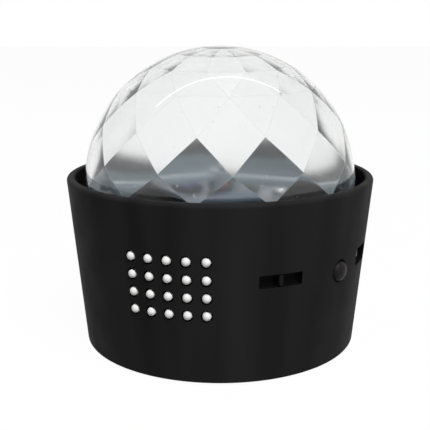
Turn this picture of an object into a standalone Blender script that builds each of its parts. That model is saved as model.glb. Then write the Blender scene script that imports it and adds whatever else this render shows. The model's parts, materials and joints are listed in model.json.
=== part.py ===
"""Rotating disco light: a tapered round housing with a faceted clear dome that a small geared motor turns.

Units are metres and +Z is up.  The origin is on the table, under the dome's axis.  The front, with the
switch and the button, faces -Y, and azimuths are counted from the front towards +X.
"""
import math

import bmesh
import bpy
from mathutils import Matrix, Vector

# Whole body
SIDE_WALL = 0.0024
RIM_WALL = 0.0024
RIM_ROUNDING = 0.0008
DECK_DEPTH = 0.0064
DECK_THICKNESS = 0.0020
FOOT_STAND = 0.0006

# Clearances: a seat is face to face, a running gap lies between pieces that turn past each other
SEAT = 0.0003
RUNNING_GAP = 0.0010
OVERRUN = 0.0010
WELD_DISTANCE = 0.000003

# Dome
DOME_RADIUS = 0.0380
DOME_SINK = 0.0028
DOME_WALL = 0.0018
DOME_TO_RIM = 0.0026
FACETS_AROUND = 12
FACET_AZIMUTH = -10.1

# Rings of corners between the dome's facets: latitude, and turn as a share of one facet
FACET_RINGS = ((0.9, 0.0), (12.4, 0.5), (27.3, 0.0), (45.0, 0.5), (58.5, 0.0), (70.5, 0.0), (81.0, 0.5))

# Dome carrier
CARRIER_RING_WIDTH = 0.0067
CARRIER_RING_THICKNESS = 0.0012
SPIGOT_HEIGHT = 0.0020
SPIGOT_WALL = 0.0012
SPOKES = 3
SPOKE_WIDTH = 0.0040
SPOKE_THICKNESS = 0.0016
SPOKE_HEADROOM = 0.0005
HUB_RADIUS = 0.0045
HUB_DEPTH = 0.0040
HUB_LAP_SHARE = 0.75
HUB_ROOF = 0.0017

# Shaft and bushes
SHAFT_RADIUS = 0.0020
BUSH_WALL = 0.0010
BUSH_FLANGE_WIDTH = 0.0012
BUSH_FLANGE_THICKNESS = 0.0008
THRUST_FLOOR = 0.0005

# Gears
MODULE = 0.0005
PRESSURE_ANGLE = 20.0
BACKLASH = 0.0001
ADDENDUM_SHARE = 0.9
DEDENDUM_SHARE = 1.2
PINION_TEETH = 10
WHEEL_TEETH = 40
OUTPUT_TEETH = 50
GEAR_THICKNESS = 0.0020
LAYER_GAP = 0.0004
GEAR_HUB_WALL = 0.0011
SECOND_AXIS_ANGLE = 35.0
FIRST_AXIS_TURN = 110.0
AXLE_RADIUS = 0.0010
AXLE_COLLAR_WALL = 0.0006
AXLE_SOCKET_DEPTH = 0.0012

# Gear plate
PLATE_THICKNESS = 0.0016
PLATE_EDGE = 0.0040
PLATE_POST_RADIUS = 0.0026
PLATE_POST_AZIMUTHS = (-77.0, 105.0, 225.0)
PLATE_POST_SHARES = (0.46, 0.81, 0.85)

# Motor
MOTOR_RADIUS = 0.00775
MOTOR_FLAT = 0.0060
MOTOR_LENGTH = 0.0180
MOTOR_NOSE_RADIUS = 0.0030
MOTOR_NOSE_HEIGHT = 0.0010
MOTOR_SHAFT_RADIUS = 0.00075
MOTOR_SHAFT_DEPTH = 0.0060
MOTOR_SCREW_SPACING = 0.0050
MOTOR_TO_WALL = 0.0020
MOTOR_STAND = 0.0008

# Screws
SCREW_SHANK_RADIUS = 0.0009
SCREW_HEAD_RADIUS = 0.0022
SCREW_HEAD_HEIGHT = 0.0011
SCREW_LENGTH = 0.0060
SMALL_SHANK_RADIUS = 0.0007
SMALL_HEAD_RADIUS = 0.0015
SMALL_HEAD_HEIGHT = 0.0010
SMALL_LENGTH = 0.0032

# LED board
LED_BOARD_RADIUS = 0.0190
LED_BOARD_THICKNESS = 0.0012
LED_POST_HEIGHT = 0.0008
LED_POST_RADIUS = 0.0024
LED_SCREW_CIRCLE = 0.0160
LED_SCREWS = 2
LED_CIRCLE = 0.0105
LED_BASE_RADIUS = 0.0035
LED_BASE_HEIGHT = 0.0010
LED_LENS_RADIUS = 0.0026
LED_LENS_HEIGHT = 0.0014

# Main board
BOARD_BELOW_PLATE = 0.0050
BOARD_THICKNESS = 0.0016
BOARD_TO_PAD = 0.0006
BOARD_POST_RADIUS = 0.0025
BOARD_POST_AZIMUTHS = (-55.0, 30.0)
BOARD_POST_SHARES = (0.82, 0.65)
CHIP_LENGTH = 0.0100
CHIP_WIDTH = 0.0060
CHIP_HEIGHT = 0.0016
CHIP_PLACE = (-0.0090, -0.0150)

# Sound holes and their pad
GRILLE_AZIMUTH = -18.3
GRILLE_ABOVE_BOARD = 0.0010
GRILLE_COLUMNS = 5
GRILLE_ROWS = 4
GRILLE_COLUMN_PITCH = 0.0049
GRILLE_ROW_PITCH = 0.0047
GRILLE_HOLE_RADIUS = 0.0015
PAD_THICKNESS = 0.0020
PAD_MARGIN = 0.0028
PIP_GAP = 0.00025
PIP_STAND = 0.0007
PIP_CROWN = 0.0009

# Microphone
MIC_AZIMUTH = -18.3
MIC_RADIUS = 0.0030
MIC_LENGTH = 0.0027
MIC_BOOT_WALL = 0.0012
MIC_BOOT_BACK = 0.0010

# Slide switch
SLOT_AZIMUTH = 21.4
SLOT_LENGTH = 0.0117
SLOT_HEIGHT = 0.0034
SLOT_RECESS = 0.0027
SLIDE_TRAVEL = 0.0020
SLIDER_LAP = 0.0004
SLIDER_EDGE = 0.0009
SLIDER_THICKNESS = 0.0012
RIDGE_WIDTH = 0.0011
FORK_LENGTH = 0.0013
FORK_WALL = 0.0010
FORK_HEIGHT = 0.0024
LEVER_WIDTH = 0.0014
LEVER_DEPTH_IN_BODY = 0.0012
SWITCH_BODY_WIDTH = 0.0090
SWITCH_BODY_DEPTH = 0.0036
SWITCH_BODY_HEIGHT = 0.0047
BOARD_EDGE_SETBACK = 0.0005

# Push button
BUTTON_AZIMUTH = 48.6
BUTTON_RADIUS = 0.0026
BUTTON_STAND = 0.0013
BUTTON_CROWN = 0.0013
BUTTON_CROWN_SHARES = ((0.40, 0.10), (0.70, 0.33), (0.90, 0.65))
BUTTON_FLANGE_WIDTH = 0.0013
BUTTON_FLANGE_THICKNESS = 0.0010
BUTTON_TRAVEL = 0.0006
PLUNGER_RADIUS = 0.0007
TACT_WIDTH = 0.0047
TACT_DEPTH = 0.0030
TACT_HEIGHT = 0.0026

# Socket
USB_AZIMUTH = 67.5
USB_FOOT_HEIGHT = 0.00085
USB_OPENING_WIDTH = 0.0092
USB_OPENING_HEIGHT = 0.0049
USB_SHELL_WIDTH = 0.0077
USB_SHELL_HEIGHT = 0.0039
USB_SHELL_LENGTH = 0.0090
USB_SHELL_WALL = 0.0004
USB_SHELL_REACH = 0.0014
USB_CAVITY_DEPTH = 0.0060
USB_TONGUE_WIDTH = 0.0045
USB_TONGUE_THICKNESS = 0.0010
USB_TONGUE_SETBACK = 0.0008

# Cells and contacts
CELL_RADIUS = 0.00525
CELL_LENGTH = 0.0445
CELL_NUB_RADIUS = 0.0019
CELL_NUB_HEIGHT = 0.0010
CELL_GAP = 0.0006
CELLS = 3
CONTACT_THICKNESS = 0.0004
CONTACT_WIDTH = 0.0080
CONTACT_HEIGHT = 0.0066
SPRING_LENGTH = 0.0022
SPRING_WIRE_RADIUS = 0.0003
SPRING_LARGE_RADIUS = 0.0031
SPRING_SMALL_RADIUS = 0.0019
SPRING_TURNS = 3

# Bottom cover, door and feet
COVER_THICKNESS = 0.0020
BOX_WALL = 0.0012
BOX_TO_POST = 0.0012
BOX_HEADROOM = 0.0004
DOOR_THICKNESS = 0.0016
DOOR_TO_CELL = 0.0007
TONGUE_WIDTH = 0.0030
TONGUE_REACH = 0.0012
TONGUE_THICKNESS = 0.0010
TONGUE_ROOT = 0.0012
NOTCH_DIP = 0.0002
NOTCH_GAP = 0.0006
FINGER_NOTCH_RADIUS = 0.0045
FINGER_NOTCH_DEPTH = 0.0008
FINGER_NOTCH_INSET = 0.0020
FOOT_RING_INSET = 0.0008
FOOT_RING_WIDTH = 0.0026
FOOT_RING_THICKNESS = 0.0012
COVER_SCREWS = 4
COVER_SCREW_SUNK = 0.0001
COVER_SCREW_WEB = 0.0006
COVER_POST_RADIUS = 0.0026
COVER_POST_LENGTH = 0.0080
COVER_RIB_THICKNESS = 0.0016

# Leads
LEAD_RADIUS = 0.0008
LED_LEAD_RADIUS = 0.0012
LED_LEAD_TO_GEAR = 0.00185
LEAD_RISE_SHARE = 0.35
MOTOR_LEAD_DROP = 0.0034
MOTOR_LEAD_BEND = 0.0020
MOTOR_LEAD_FOOT = (-0.0030, -0.0080)
BATTERY_LEAD_START = (0.0180, -0.0080)
BATTERY_LEAD_END = (0.0140, -0.0120)

# Turn of a screw that points down
DOWNWARD = (math.pi, 0.0, 0.0)

# Facets of round pieces
ROUND_LARGE = 48
ROUND_MEDIUM = 20
ROUND_SMALL = 10
ROUND_TINY = 8

# Heights that follow from the sizes, from the table up
COVER_TOP = FOOT_STAND + COVER_THICKNESS
DOOR_TOP = FOOT_STAND + DOOR_THICKNESS
CELL_HEIGHT = DOOR_TOP + DOOR_TO_CELL + CELL_RADIUS
BOX_CEILING = CELL_HEIGHT + CELL_RADIUS + BOX_HEADROOM
BOX_TOP = BOX_CEILING + BOX_WALL
COVER_POST_TOP = COVER_TOP + SEAT + COVER_POST_LENGTH
MOTOR_BOTTOM = COVER_POST_TOP + MOTOR_STAND
MOTOR_TOP = MOTOR_BOTTOM + MOTOR_LENGTH
PLATE_BOTTOM = MOTOR_TOP + SEAT
PLATE_TOP = PLATE_BOTTOM + PLATE_THICKNESS
LAYER_C_BOTTOM = PLATE_TOP + LAYER_GAP
LAYER_B_BOTTOM = LAYER_C_BOTTOM + GEAR_THICKNESS + LAYER_GAP
LAYER_A_BOTTOM = LAYER_B_BOTTOM + GEAR_THICKNESS + LAYER_GAP
DECK_BOTTOM = LAYER_A_BOTTOM + GEAR_THICKNESS + LAYER_GAP
DECK_TOP = DECK_BOTTOM + DECK_THICKNESS
RIM_HEIGHT = DECK_TOP + DECK_DEPTH
DOME_CENTRE = RIM_HEIGHT - DOME_SINK
CARRIER_BOTTOM = DECK_TOP + RUNNING_GAP
CARRIER_TOP = CARRIER_BOTTOM + CARRIER_RING_THICKNESS
DOME_BOTTOM = CARRIER_TOP + SEAT
LED_BOARD_BOTTOM = DECK_TOP + LED_POST_HEIGHT + SEAT
LED_BOARD_TOP = LED_BOARD_BOTTOM + LED_BOARD_THICKNESS
LED_TOP = LED_BOARD_TOP + SEAT + LED_BASE_HEIGHT + LED_LENS_HEIGHT
SPOKE_BOTTOM = LED_TOP + SPOKE_HEADROOM
SPOKE_TOP = SPOKE_BOTTOM + SPOKE_THICKNESS
SHAFT_TOP = SPOKE_TOP - HUB_ROOF - SEAT
THRUST_BOTTOM = PLATE_BOTTOM - SEAT - BUSH_FLANGE_THICKNESS - THRUST_FLOOR
SHAFT_BOTTOM = THRUST_BOTTOM + THRUST_FLOOR + SEAT
BOARD_TOP = PLATE_BOTTOM - BOARD_BELOW_PLATE
BOARD_BOTTOM = BOARD_TOP - BOARD_THICKNESS
GRILLE_HEIGHT = BOARD_TOP + GRILLE_ABOVE_BOARD
SLOT_MIDDLE = BOARD_TOP + SEAT + SWITCH_BODY_HEIGHT / 2
BUTTON_MIDDLE = BOARD_TOP + SEAT + TACT_HEIGHT / 2
USB_MIDDLE = BOARD_TOP + SEAT + USB_FOOT_HEIGHT + USB_SHELL_HEIGHT / 2

# Widths that follow from the sizes: the dome sets the rim, and the cells set the base
RIM_RADIUS = DOME_RADIUS + DOME_TO_RIM + RIM_WALL
CARRIER_RADIUS = DOME_RADIUS - SEAT
DOME_INNER_RADIUS = DOME_RADIUS - DOME_WALL
BUSH_RADIUS = SHAFT_RADIUS + SEAT + BUSH_WALL
BUSH_FLANGE_RADIUS = BUSH_RADIUS + BUSH_FLANGE_WIDTH
CELL_PITCH = 2 * CELL_RADIUS + CELL_GAP
BOX_INNER_HALF_LENGTH = (CELL_LENGTH + SPRING_LENGTH + 2 * CONTACT_THICKNESS + 5 * SEAT) / 2
BOX_INNER_HALF_WIDTH = (CELLS - 1) * CELL_PITCH / 2 + CELL_RADIUS + CELL_GAP / 2
DOOR_HALF_LENGTH = BOX_INNER_HALF_LENGTH - SEAT
DOOR_HALF_WIDTH = BOX_INNER_HALF_WIDTH - SEAT
COVER_SCREW_CIRCLE = BOX_INNER_HALF_LENGTH + BOX_WALL + BOX_TO_POST + COVER_POST_RADIUS
FOOT_RING_INNER = COVER_SCREW_CIRCLE + SCREW_HEAD_RADIUS + 3 * SEAT
FOOT_RING_OUTER = FOOT_RING_INNER + FOOT_RING_WIDTH
COVER_RADIUS = FOOT_RING_OUTER + FOOT_RING_INSET
BASE_RADIUS = COVER_RADIUS + SEAT + SIDE_WALL

# Finishes: colour, roughness, metallic
BLACK_PLASTIC = ((0.012, 0.011, 0.012), 0.42, 0.0)
GREY_PLASTIC = ((0.055, 0.055, 0.058), 0.38, 0.0)
CLEAR_PLASTIC = ((0.93, 0.95, 0.97), 0.04, 0.0)
SMOKED_PLASTIC = ((0.050, 0.065, 0.075), 0.30, 0.0)
WHITE_FOAM = ((0.86, 0.86, 0.84), 0.85, 0.0)
WHITE_PLASTIC = ((0.78, 0.78, 0.74), 0.45, 0.0)
RUBBER = ((0.030, 0.030, 0.030), 0.80, 0.0)
STEEL = ((0.58, 0.58, 0.60), 0.30, 1.0)
BRONZE = ((0.60, 0.38, 0.18), 0.40, 1.0)
GREEN_BOARD = ((0.020, 0.130, 0.045), 0.45, 0.0)
DARK_BOARD = ((0.014, 0.019, 0.025), 0.40, 0.0)
CELL_WRAP = ((0.055, 0.085, 0.160), 0.35, 0.0)
RED_LENS = ((0.750, 0.120, 0.100), 0.15, 0.0)
GREEN_LENS = ((0.120, 0.650, 0.180), 0.15, 0.0)
BLUE_LENS = ((0.100, 0.200, 0.750), 0.15, 0.0)
RED_LEAD = ((0.550, 0.030, 0.025), 0.45, 0.0)


def outer_radius(height):
    """Radius of the housing's outside at a height above the table."""
    rise = (height - FOOT_STAND) / (RIM_HEIGHT - FOOT_STAND)
    return BASE_RADIUS + (RIM_RADIUS - BASE_RADIUS) * rise


def inner_radius(height):
    """Radius of the housing's inside below the deck."""
    return outer_radius(height) - SIDE_WALL


def around(radius, azimuth):
    """Place at a radius and an azimuth in degrees from the front towards +X."""
    angle = math.radians(azimuth)
    return Vector((radius * math.sin(angle), -radius * math.cos(angle), 0.0))


def at(place, height):
    return Vector((place[0], place[1], height))


def polar(radius, degrees):
    return Vector((radius * math.cos(math.radians(degrees)), radius * math.sin(math.radians(degrees)), 0.0))


def clear_scene():
    for old in list(bpy.data.objects):
        bpy.data.objects.remove(old, do_unlink=True)


def collection(name):
    new = bpy.data.collections.new(name)
    bpy.context.scene.collection.children.link(new)
    return new


def finish(name, look):
    colour, roughness, metallic = look
    made = bpy.data.materials.new(name)
    made.use_nodes = True
    shader = made.node_tree.nodes["Principled BSDF"]
    shader.inputs["Base Color"].default_value = (*colour, 1.0)
    shader.inputs["Roughness"].default_value = roughness
    shader.inputs["Metallic"].default_value = metallic
    if look is CLEAR_PLASTIC:
        shader.inputs["Transmission Weight"].default_value = 1.0
    return made


def new_object(name, mesh, location=(0.0, 0.0, 0.0), turn=0.0, parent=None):
    """Object of a mesh, turned about Z by degrees."""
    made = bpy.data.objects.new(name, mesh)
    made.location = location
    made.rotation_euler = (0.0, 0.0, math.radians(turn))
    made.parent = parent
    return made


def part(name, mesh, look, location=(0.0, 0.0, 0.0), turn=0.0, parent=None):
    """Sub-part with its own material."""
    mesh.materials.clear()
    mesh.materials.append(finish(name + "_finish", look))
    mesh.shade_smooth()
    mesh.set_sharp_from_angle(angle=math.radians(35.0))
    made = new_object(name, mesh, location, turn, parent)
    PARTS.objects.link(made)
    return made


def tool(name, mesh, location=(0.0, 0.0, 0.0), turn=0.0, parent=None):
    """Guide that cuts or adds to a part and isn't one itself."""
    made = new_object(name, mesh, location, turn, parent)
    made.hide_render = True
    made.display_type = "WIRE"
    CUTTERS.objects.link(made)
    return made


def axis_empty(name, azimuth):
    """Empty on the dome's axis whose -Y looks at an azimuth of the wall."""
    made = bpy.data.objects.new(name, None)
    made.rotation_euler = (0.0, 0.0, math.radians(azimuth))
    PARTS.objects.link(made)
    return made


def boolean(target, other, operation):
    """Exact Boolean, followed by a weld of the near-double corners that it can leave."""
    modifier = target.modifiers.new(other.name, "BOOLEAN")
    modifier.operation = operation
    modifier.solver = "EXACT"
    modifier.object = other
    weld = target.modifiers.new("weld", "WELD")
    weld.merge_threshold = WELD_DISTANCE


def cut(target, other):
    boolean(target, other, "DIFFERENCE")


def unite(target, other):
    boolean(target, other, "UNION")


def evaluated_mesh(source):
    """Plain mesh of an object as its modifiers or its curve make it; the object is removed."""
    bpy.context.scene.collection.objects.link(source)
    graph = bpy.context.evaluated_depsgraph_get()
    mesh = bpy.data.meshes.new_from_object(source.evaluated_get(graph))
    bpy.data.objects.remove(source, do_unlink=True)
    shape = bmesh.new()
    shape.from_mesh(mesh)
    bmesh.ops.remove_doubles(shape, verts=shape.verts, dist=WELD_DISTANCE)
    shape.to_mesh(mesh)
    shape.free()
    return mesh


def turned(profile, segments=ROUND_MEDIUM, closed=False, sweep=360.0):
    """Mesh of (radius, height) points turned about Z; the points run down the outer side."""
    line = bpy.data.meshes.new("profile")
    points = [(radius, 0.0, height) for radius, height in profile]
    edges = [(i, i + 1) for i in range(len(points) - 1)]
    if closed:
        edges.append((len(points) - 1, 0))
    line.from_pydata(points, edges, [])
    source = bpy.data.objects.new("profile", line)
    screw = source.modifiers.new("turn", "SCREW")
    screw.angle = math.radians(sweep)
    screw.steps = segments
    screw.render_steps = segments
    screw.use_merge_vertices = True
    screw.merge_threshold = WELD_DISTANCE
    return evaluated_mesh(source)


def rod(radius, low, high, segments=ROUND_SMALL):
    """Solid cylinder about Z."""
    return turned([(0.0, high), (radius, high), (radius, low), (0.0, low)], segments)


def tube(outer, inner, low, high, segments=ROUND_MEDIUM):
    """Cylinder about Z with a bore."""
    return turned([(outer, high), (outer, low), (inner, low), (inner, high)], segments, closed=True)


def box(x_span, y_span, z_span):
    """Box between pairs of limits along X, Y and Z."""
    low = Vector((x_span[0], y_span[0], z_span[0]))
    high = Vector((x_span[1], y_span[1], z_span[1]))
    shape = bmesh.new()
    bmesh.ops.create_cube(shape, size=1.0)
    bmesh.ops.scale(shape, vec=high - low, verts=shape.verts)
    bmesh.ops.translate(shape, vec=(low + high) / 2, verts=shape.verts)
    mesh = bpy.data.meshes.new("box")
    shape.to_mesh(mesh)
    shape.free()
    return mesh


def prism(outlines, low, high):
    """Flat plate between two heights; the first outline is its edge and the others are holes."""
    curve = bpy.data.curves.new("outline", "CURVE")
    curve.dimensions = "2D"
    curve.fill_mode = "BOTH"
    curve.extrude = (high - low) / 2
    for outline in outlines:
        spline = curve.splines.new("POLY")
        spline.points.add(len(outline) - 1)
        for point, place in zip(spline.points, outline):
            point.co = (place[0], place[1], 0.0, 1.0)
        spline.use_cyclic_u = True
    source = bpy.data.objects.new("outline", curve)
    mesh = evaluated_mesh(source)
    mesh.transform(Matrix.Translation((0.0, 0.0, (low + high) / 2)))
    return mesh


def circle(centre, radius, segments=ROUND_SMALL):
    return [(centre[0] + radius * math.cos(2 * math.pi * i / segments),
             centre[1] + radius * math.sin(2 * math.pi * i / segments)) for i in range(segments)]


def gather(meshes_and_places):
    """One mesh of several separate ones, each moved by its own matrix."""
    shape = bmesh.new()
    for mesh, matrix in meshes_and_places:
        copy = mesh.copy()
        copy.transform(matrix)
        shape.from_mesh(copy)
        bpy.data.meshes.remove(copy)
    joined = bpy.data.meshes.new("joined")
    shape.to_mesh(joined)
    shape.free()
    return joined


def shifted(places):
    return [Matrix.Translation(place) for place in places]


def outward(azimuth, radius, height):
    """Matrix that lays a mesh about Z along the wall's outward direction at an azimuth."""
    stand = Matrix.Translation(at(around(radius, azimuth), height))
    swing = Matrix.Rotation(math.radians(azimuth), 4, "Z")
    return stand @ swing @ Matrix.Rotation(math.radians(90.0), 4, "X")


def wire(points, radius, bevel_resolution=2):
    """Round wire along a list of points."""
    curve = bpy.data.curves.new("wire", "CURVE")
    curve.dimensions = "3D"
    curve.bevel_depth = radius
    curve.bevel_resolution = bevel_resolution
    curve.use_fill_caps = True
    spline = curve.splines.new("POLY")
    spline.points.add(len(points) - 1)
    for point, place in zip(spline.points, points):
        point.co = (*place, 1.0)
    return evaluated_mesh(bpy.data.objects.new("wire", curve))


def screw_mesh(head_radius, head_height, shank_radius, length):
    """Pan-head screw: the head's underside is at zero and the shank points up."""
    crown = head_height / 3
    return turned([
        (0.0, length),
        (shank_radius, length),
        (shank_radius, 0.0),
        (head_radius, 0.0),
        (head_radius, crown - head_height),
        (head_radius - crown, -head_height),
        (0.0, -head_height),
    ], ROUND_TINY)


def standard_screw():
    return screw_mesh(SCREW_HEAD_RADIUS, SCREW_HEAD_HEIGHT, SCREW_SHANK_RADIUS, SCREW_LENGTH)


def small_screw():
    return screw_mesh(SMALL_HEAD_RADIUS, SMALL_HEAD_HEIGHT, SMALL_SHANK_RADIUS, SMALL_LENGTH)


def screws(name, mesh, places, downward=False):
    """Numbered screws that share a mesh, pointing up or down from their head's seat."""
    for number, place in enumerate(places, start=1):
        made = part("%s_%d" % (name, number), mesh, STEEL, location=place)
        if downward:
            made.rotation_euler = DOWNWARD


# Places of posts, screws, gears and holes

def plate_posts():
    reach = inner_radius(PLATE_BOTTOM)
    return [around(reach * share, azimuth) for share, azimuth in zip(PLATE_POST_SHARES, PLATE_POST_AZIMUTHS)]


def board_radius():
    """Radius of the main board, which clears the pad behind the sound holes."""
    return inner_radius(BOARD_BOTTOM) - SEAT - PAD_THICKNESS - BOARD_TO_PAD


def board_front():
    """Distance from the dome's axis to the front of the switches that stand on the main board."""
    return board_radius() - BOARD_EDGE_SETBACK


def board_posts():
    reach = board_radius()
    return [around(reach * share, azimuth) for share, azimuth in zip(BOARD_POST_SHARES, BOARD_POST_AZIMUTHS)]


def led_posts():
    return [around(LED_SCREW_CIRCLE, 90.0 + 360.0 / LED_SCREWS * i) for i in range(LED_SCREWS)]


def cover_screw_azimuths():
    return [360.0 / COVER_SCREWS * i for i in range(COVER_SCREWS)]


def pitch_radius(teeth):
    return MODULE * teeth / 2


def second_axis():
    return polar(pitch_radius(OUTPUT_TEETH) + pitch_radius(PINION_TEETH), SECOND_AXIS_ANGLE)


def first_axis_angle():
    return SECOND_AXIS_ANGLE + FIRST_AXIS_TURN


def first_axis():
    distance = pitch_radius(WHEEL_TEETH) + pitch_radius(PINION_TEETH)
    return second_axis() + polar(distance, first_axis_angle())


def motor_axis_angle():
    """Direction from the first axle to the motor, which puts the motor beside the wall."""
    near = first_axis()
    distance = pitch_radius(WHEEL_TEETH) + pitch_radius(PINION_TEETH)
    reach = inner_radius(MOTOR_BOTTOM) - MOTOR_TO_WALL - MOTOR_RADIUS
    bend = (reach ** 2 - near.length ** 2 - distance ** 2) / (2 * near.length * distance)
    straight_on = math.degrees(math.atan2(near.y, near.x))
    return straight_on + math.degrees(math.acos(max(-1.0, min(1.0, bend))))


def motor_axis():
    distance = pitch_radius(WHEEL_TEETH) + pitch_radius(PINION_TEETH)
    return first_axis() + polar(distance, motor_axis_angle())


def motor_screws():
    side = polar(MOTOR_SCREW_SPACING, motor_axis_angle() + 90.0)
    return [motor_axis() + side, motor_axis() - side]


def lead_hole():
    """Place of the LED board's lead, in front of the output gear."""
    gear_tip = pitch_radius(OUTPUT_TEETH) + ADDENDUM_SHARE * MODULE
    return around(gear_tip + LED_LEAD_TO_GEAR + LED_LEAD_RADIUS, 0.0)


def grille_places():
    """Azimuth and height of every sound hole."""
    step = math.degrees(GRILLE_COLUMN_PITCH / outer_radius(GRILLE_HEIGHT))
    places = []
    for column in range(GRILLE_COLUMNS):
        for row in range(GRILLE_ROWS):
            azimuth = GRILLE_AZIMUTH + step * (column - (GRILLE_COLUMNS - 1) / 2)
            height = GRILLE_HEIGHT + GRILLE_ROW_PITCH * (row - (GRILLE_ROWS - 1) / 2)
            places.append((azimuth, height))
    return places


def slider_face():
    """Distance from the dome's axis to the outer face of the slider's plate."""
    return outer_radius(SLOT_MIDDLE) - SLOT_RECESS


def slider_half_length():
    return SLOT_LENGTH / 2 + SLIDE_TRAVEL + SLIDER_LAP


def slider_half_height():
    return SLOT_HEIGHT / 2 + SLIDER_EDGE


def button_flange_radius():
    return BUTTON_RADIUS + BUTTON_FLANGE_WIDTH


def button_flange_face():
    """Distance from the dome's axis to the outer face of the button's flange."""
    reach = inner_radius(BUTTON_MIDDLE - button_flange_radius())
    return math.sqrt(reach ** 2 - button_flange_radius() ** 2) - SEAT


def usb_wall():
    """Distance from the dome's axis to the flat plane just inside the wall, behind the USB opening."""
    reach = inner_radius(USB_MIDDLE - USB_OPENING_HEIGHT / 2)
    return math.sqrt(reach ** 2 - (USB_OPENING_WIDTH / 2) ** 2) - SEAT


def usb_face():
    """Distance from the dome's axis to the mouth of the shell, which reaches into the opening."""
    return usb_wall() + USB_SHELL_REACH


# Gears

def involute(angle):
    return math.tan(angle) - angle


def tooth_half_angle(teeth, radius):
    """Half the angle that a tooth takes up at a radius."""
    pressure = math.radians(PRESSURE_ANGLE)
    base = pitch_radius(teeth) * math.cos(pressure)
    at_radius = math.acos(min(1.0, base / radius))
    thinning = BACKLASH / (4 * pitch_radius(teeth))
    return math.pi / (2 * teeth) - thinning + involute(pressure) - involute(at_radius)


def gear_outline(teeth, degrees):
    """Outline of a spur gear with one tooth at the given direction."""
    tip = pitch_radius(teeth) + ADDENDUM_SHARE * MODULE
    root = pitch_radius(teeth) - DEDENDUM_SHARE * MODULE
    flank = [(root, -1), (tip, -1), (tip, 1), (root, 1)]
    outline = []
    for tooth in range(teeth):
        middle = math.radians(degrees) + 2 * math.pi * tooth / teeth
        for radius, side in flank:
            angle = middle + side * tooth_half_angle(teeth, radius)
            outline.append((radius * math.cos(angle), radius * math.sin(angle)))
    return outline


def gear(teeth, degrees, bore, low, high):
    return prism([gear_outline(teeth, degrees), circle((0.0, 0.0), bore)], low, high)


def gap_towards(degrees, teeth):
    """Direction of a tooth when a gap between teeth lies at the given direction."""
    return degrees + 180.0 / teeth


# Housing

def housing_profile():
    """Outer wall, rim, sunk deck and the hole for the upper bush."""
    rim_inner = RIM_RADIUS - RIM_WALL
    low = FOOT_STAND
    rounded = RIM_HEIGHT - RIM_ROUNDING
    third = RIM_ROUNDING / 3
    hole = BUSH_RADIUS + SEAT
    return [
        (RIM_RADIUS - RIM_ROUNDING, RIM_HEIGHT),
        (RIM_RADIUS - third, RIM_HEIGHT - third),
        (outer_radius(rounded), rounded),
        (BASE_RADIUS, low),
        (BASE_RADIUS - SIDE_WALL, low),
        (inner_radius(DECK_BOTTOM), DECK_BOTTOM),
        (hole, DECK_BOTTOM),
        (hole, DECK_TOP),
        (rim_inner, DECK_TOP),
        (rim_inner, RIM_HEIGHT - third),
        (rim_inner + third, RIM_HEIGHT),
    ]


def post_mesh():
    """Every post of the housing: for the gear plate, the main board, the LED board and the cover."""
    root = DECK_BOTTOM + DECK_THICKNESS / 2
    pieces = []
    plate_post = rod(PLATE_POST_RADIUS, PLATE_TOP + SEAT, root)
    pieces += [(plate_post, place) for place in shifted(plate_posts())]
    board_post = rod(BOARD_POST_RADIUS, BOARD_TOP + SEAT, root)
    pieces += [(board_post, place) for place in shifted(board_posts())]
    led_post = rod(LED_POST_RADIUS, root, DECK_TOP + LED_POST_HEIGHT)
    pieces += [(led_post, place) for place in shifted(led_posts())]
    return gather(pieces)


def cover_post_mesh():
    low = COVER_TOP + SEAT
    high = COVER_POST_TOP
    places = shifted([around(COVER_SCREW_CIRCLE, azimuth) for azimuth in cover_screw_azimuths()])
    return gather([(rod(COVER_POST_RADIUS, low, high), place) for place in places])


def cover_rib_mesh():
    """Ribs that carry the cover posts from the wall."""
    low = COVER_TOP + SEAT
    high = COVER_POST_TOP
    reach = inner_radius(high) + SEAT
    half = COVER_RIB_THICKNESS / 2
    rib = box((-half, half), (-reach, -COVER_SCREW_CIRCLE), (low + SEAT, high - SEAT))
    turns = [Matrix.Rotation(math.radians(azimuth), 4, "Z") for azimuth in cover_screw_azimuths()]
    return gather([(rib, turn) for turn in turns])


def post_hole_mesh():
    """Screw holes of all the posts, the axle sockets and the lead hole in the deck."""
    radius = SCREW_SHANK_RADIUS + SEAT
    depth = SCREW_LENGTH + SEAT
    pieces = []
    for place in shifted(plate_posts()):
        pieces.append((rod(radius, PLATE_TOP, PLATE_BOTTOM + depth), place))
    for place in shifted(board_posts()):
        pieces.append((rod(radius, BOARD_TOP, BOARD_BOTTOM + depth), place))
    small = SMALL_SHANK_RADIUS + SEAT
    for place in shifted(led_posts()):
        pieces.append((rod(small, LED_BOARD_TOP - SMALL_LENGTH, LED_BOARD_BOTTOM, ROUND_TINY), place))
    for azimuth in cover_screw_azimuths():
        place = Matrix.Translation(around(COVER_SCREW_CIRCLE, azimuth))
        pieces.append((rod(radius, COVER_TOP, COVER_TOP + COVER_POST_LENGTH - OVERRUN), place))
    for place in shifted([first_axis(), second_axis()]):
        socket = rod(AXLE_RADIUS + SEAT, DECK_BOTTOM - SEAT, DECK_BOTTOM + AXLE_SOCKET_DEPTH)
        pieces.append((socket, place))
    lead = rod(LED_LEAD_RADIUS + SEAT, DECK_BOTTOM - OVERRUN, DECK_TOP + OVERRUN)
    pieces.append((lead, Matrix.Translation(lead_hole())))
    return gather(pieces)


def grille_hole_mesh():
    drill = rod(GRILLE_HOLE_RADIUS, -OVERRUN, SIDE_WALL + 2 * OVERRUN, ROUND_SMALL)
    places = [outward(azimuth, inner_radius(height), height) for azimuth, height in grille_places()]
    return gather([(drill, place) for place in places])


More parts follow.
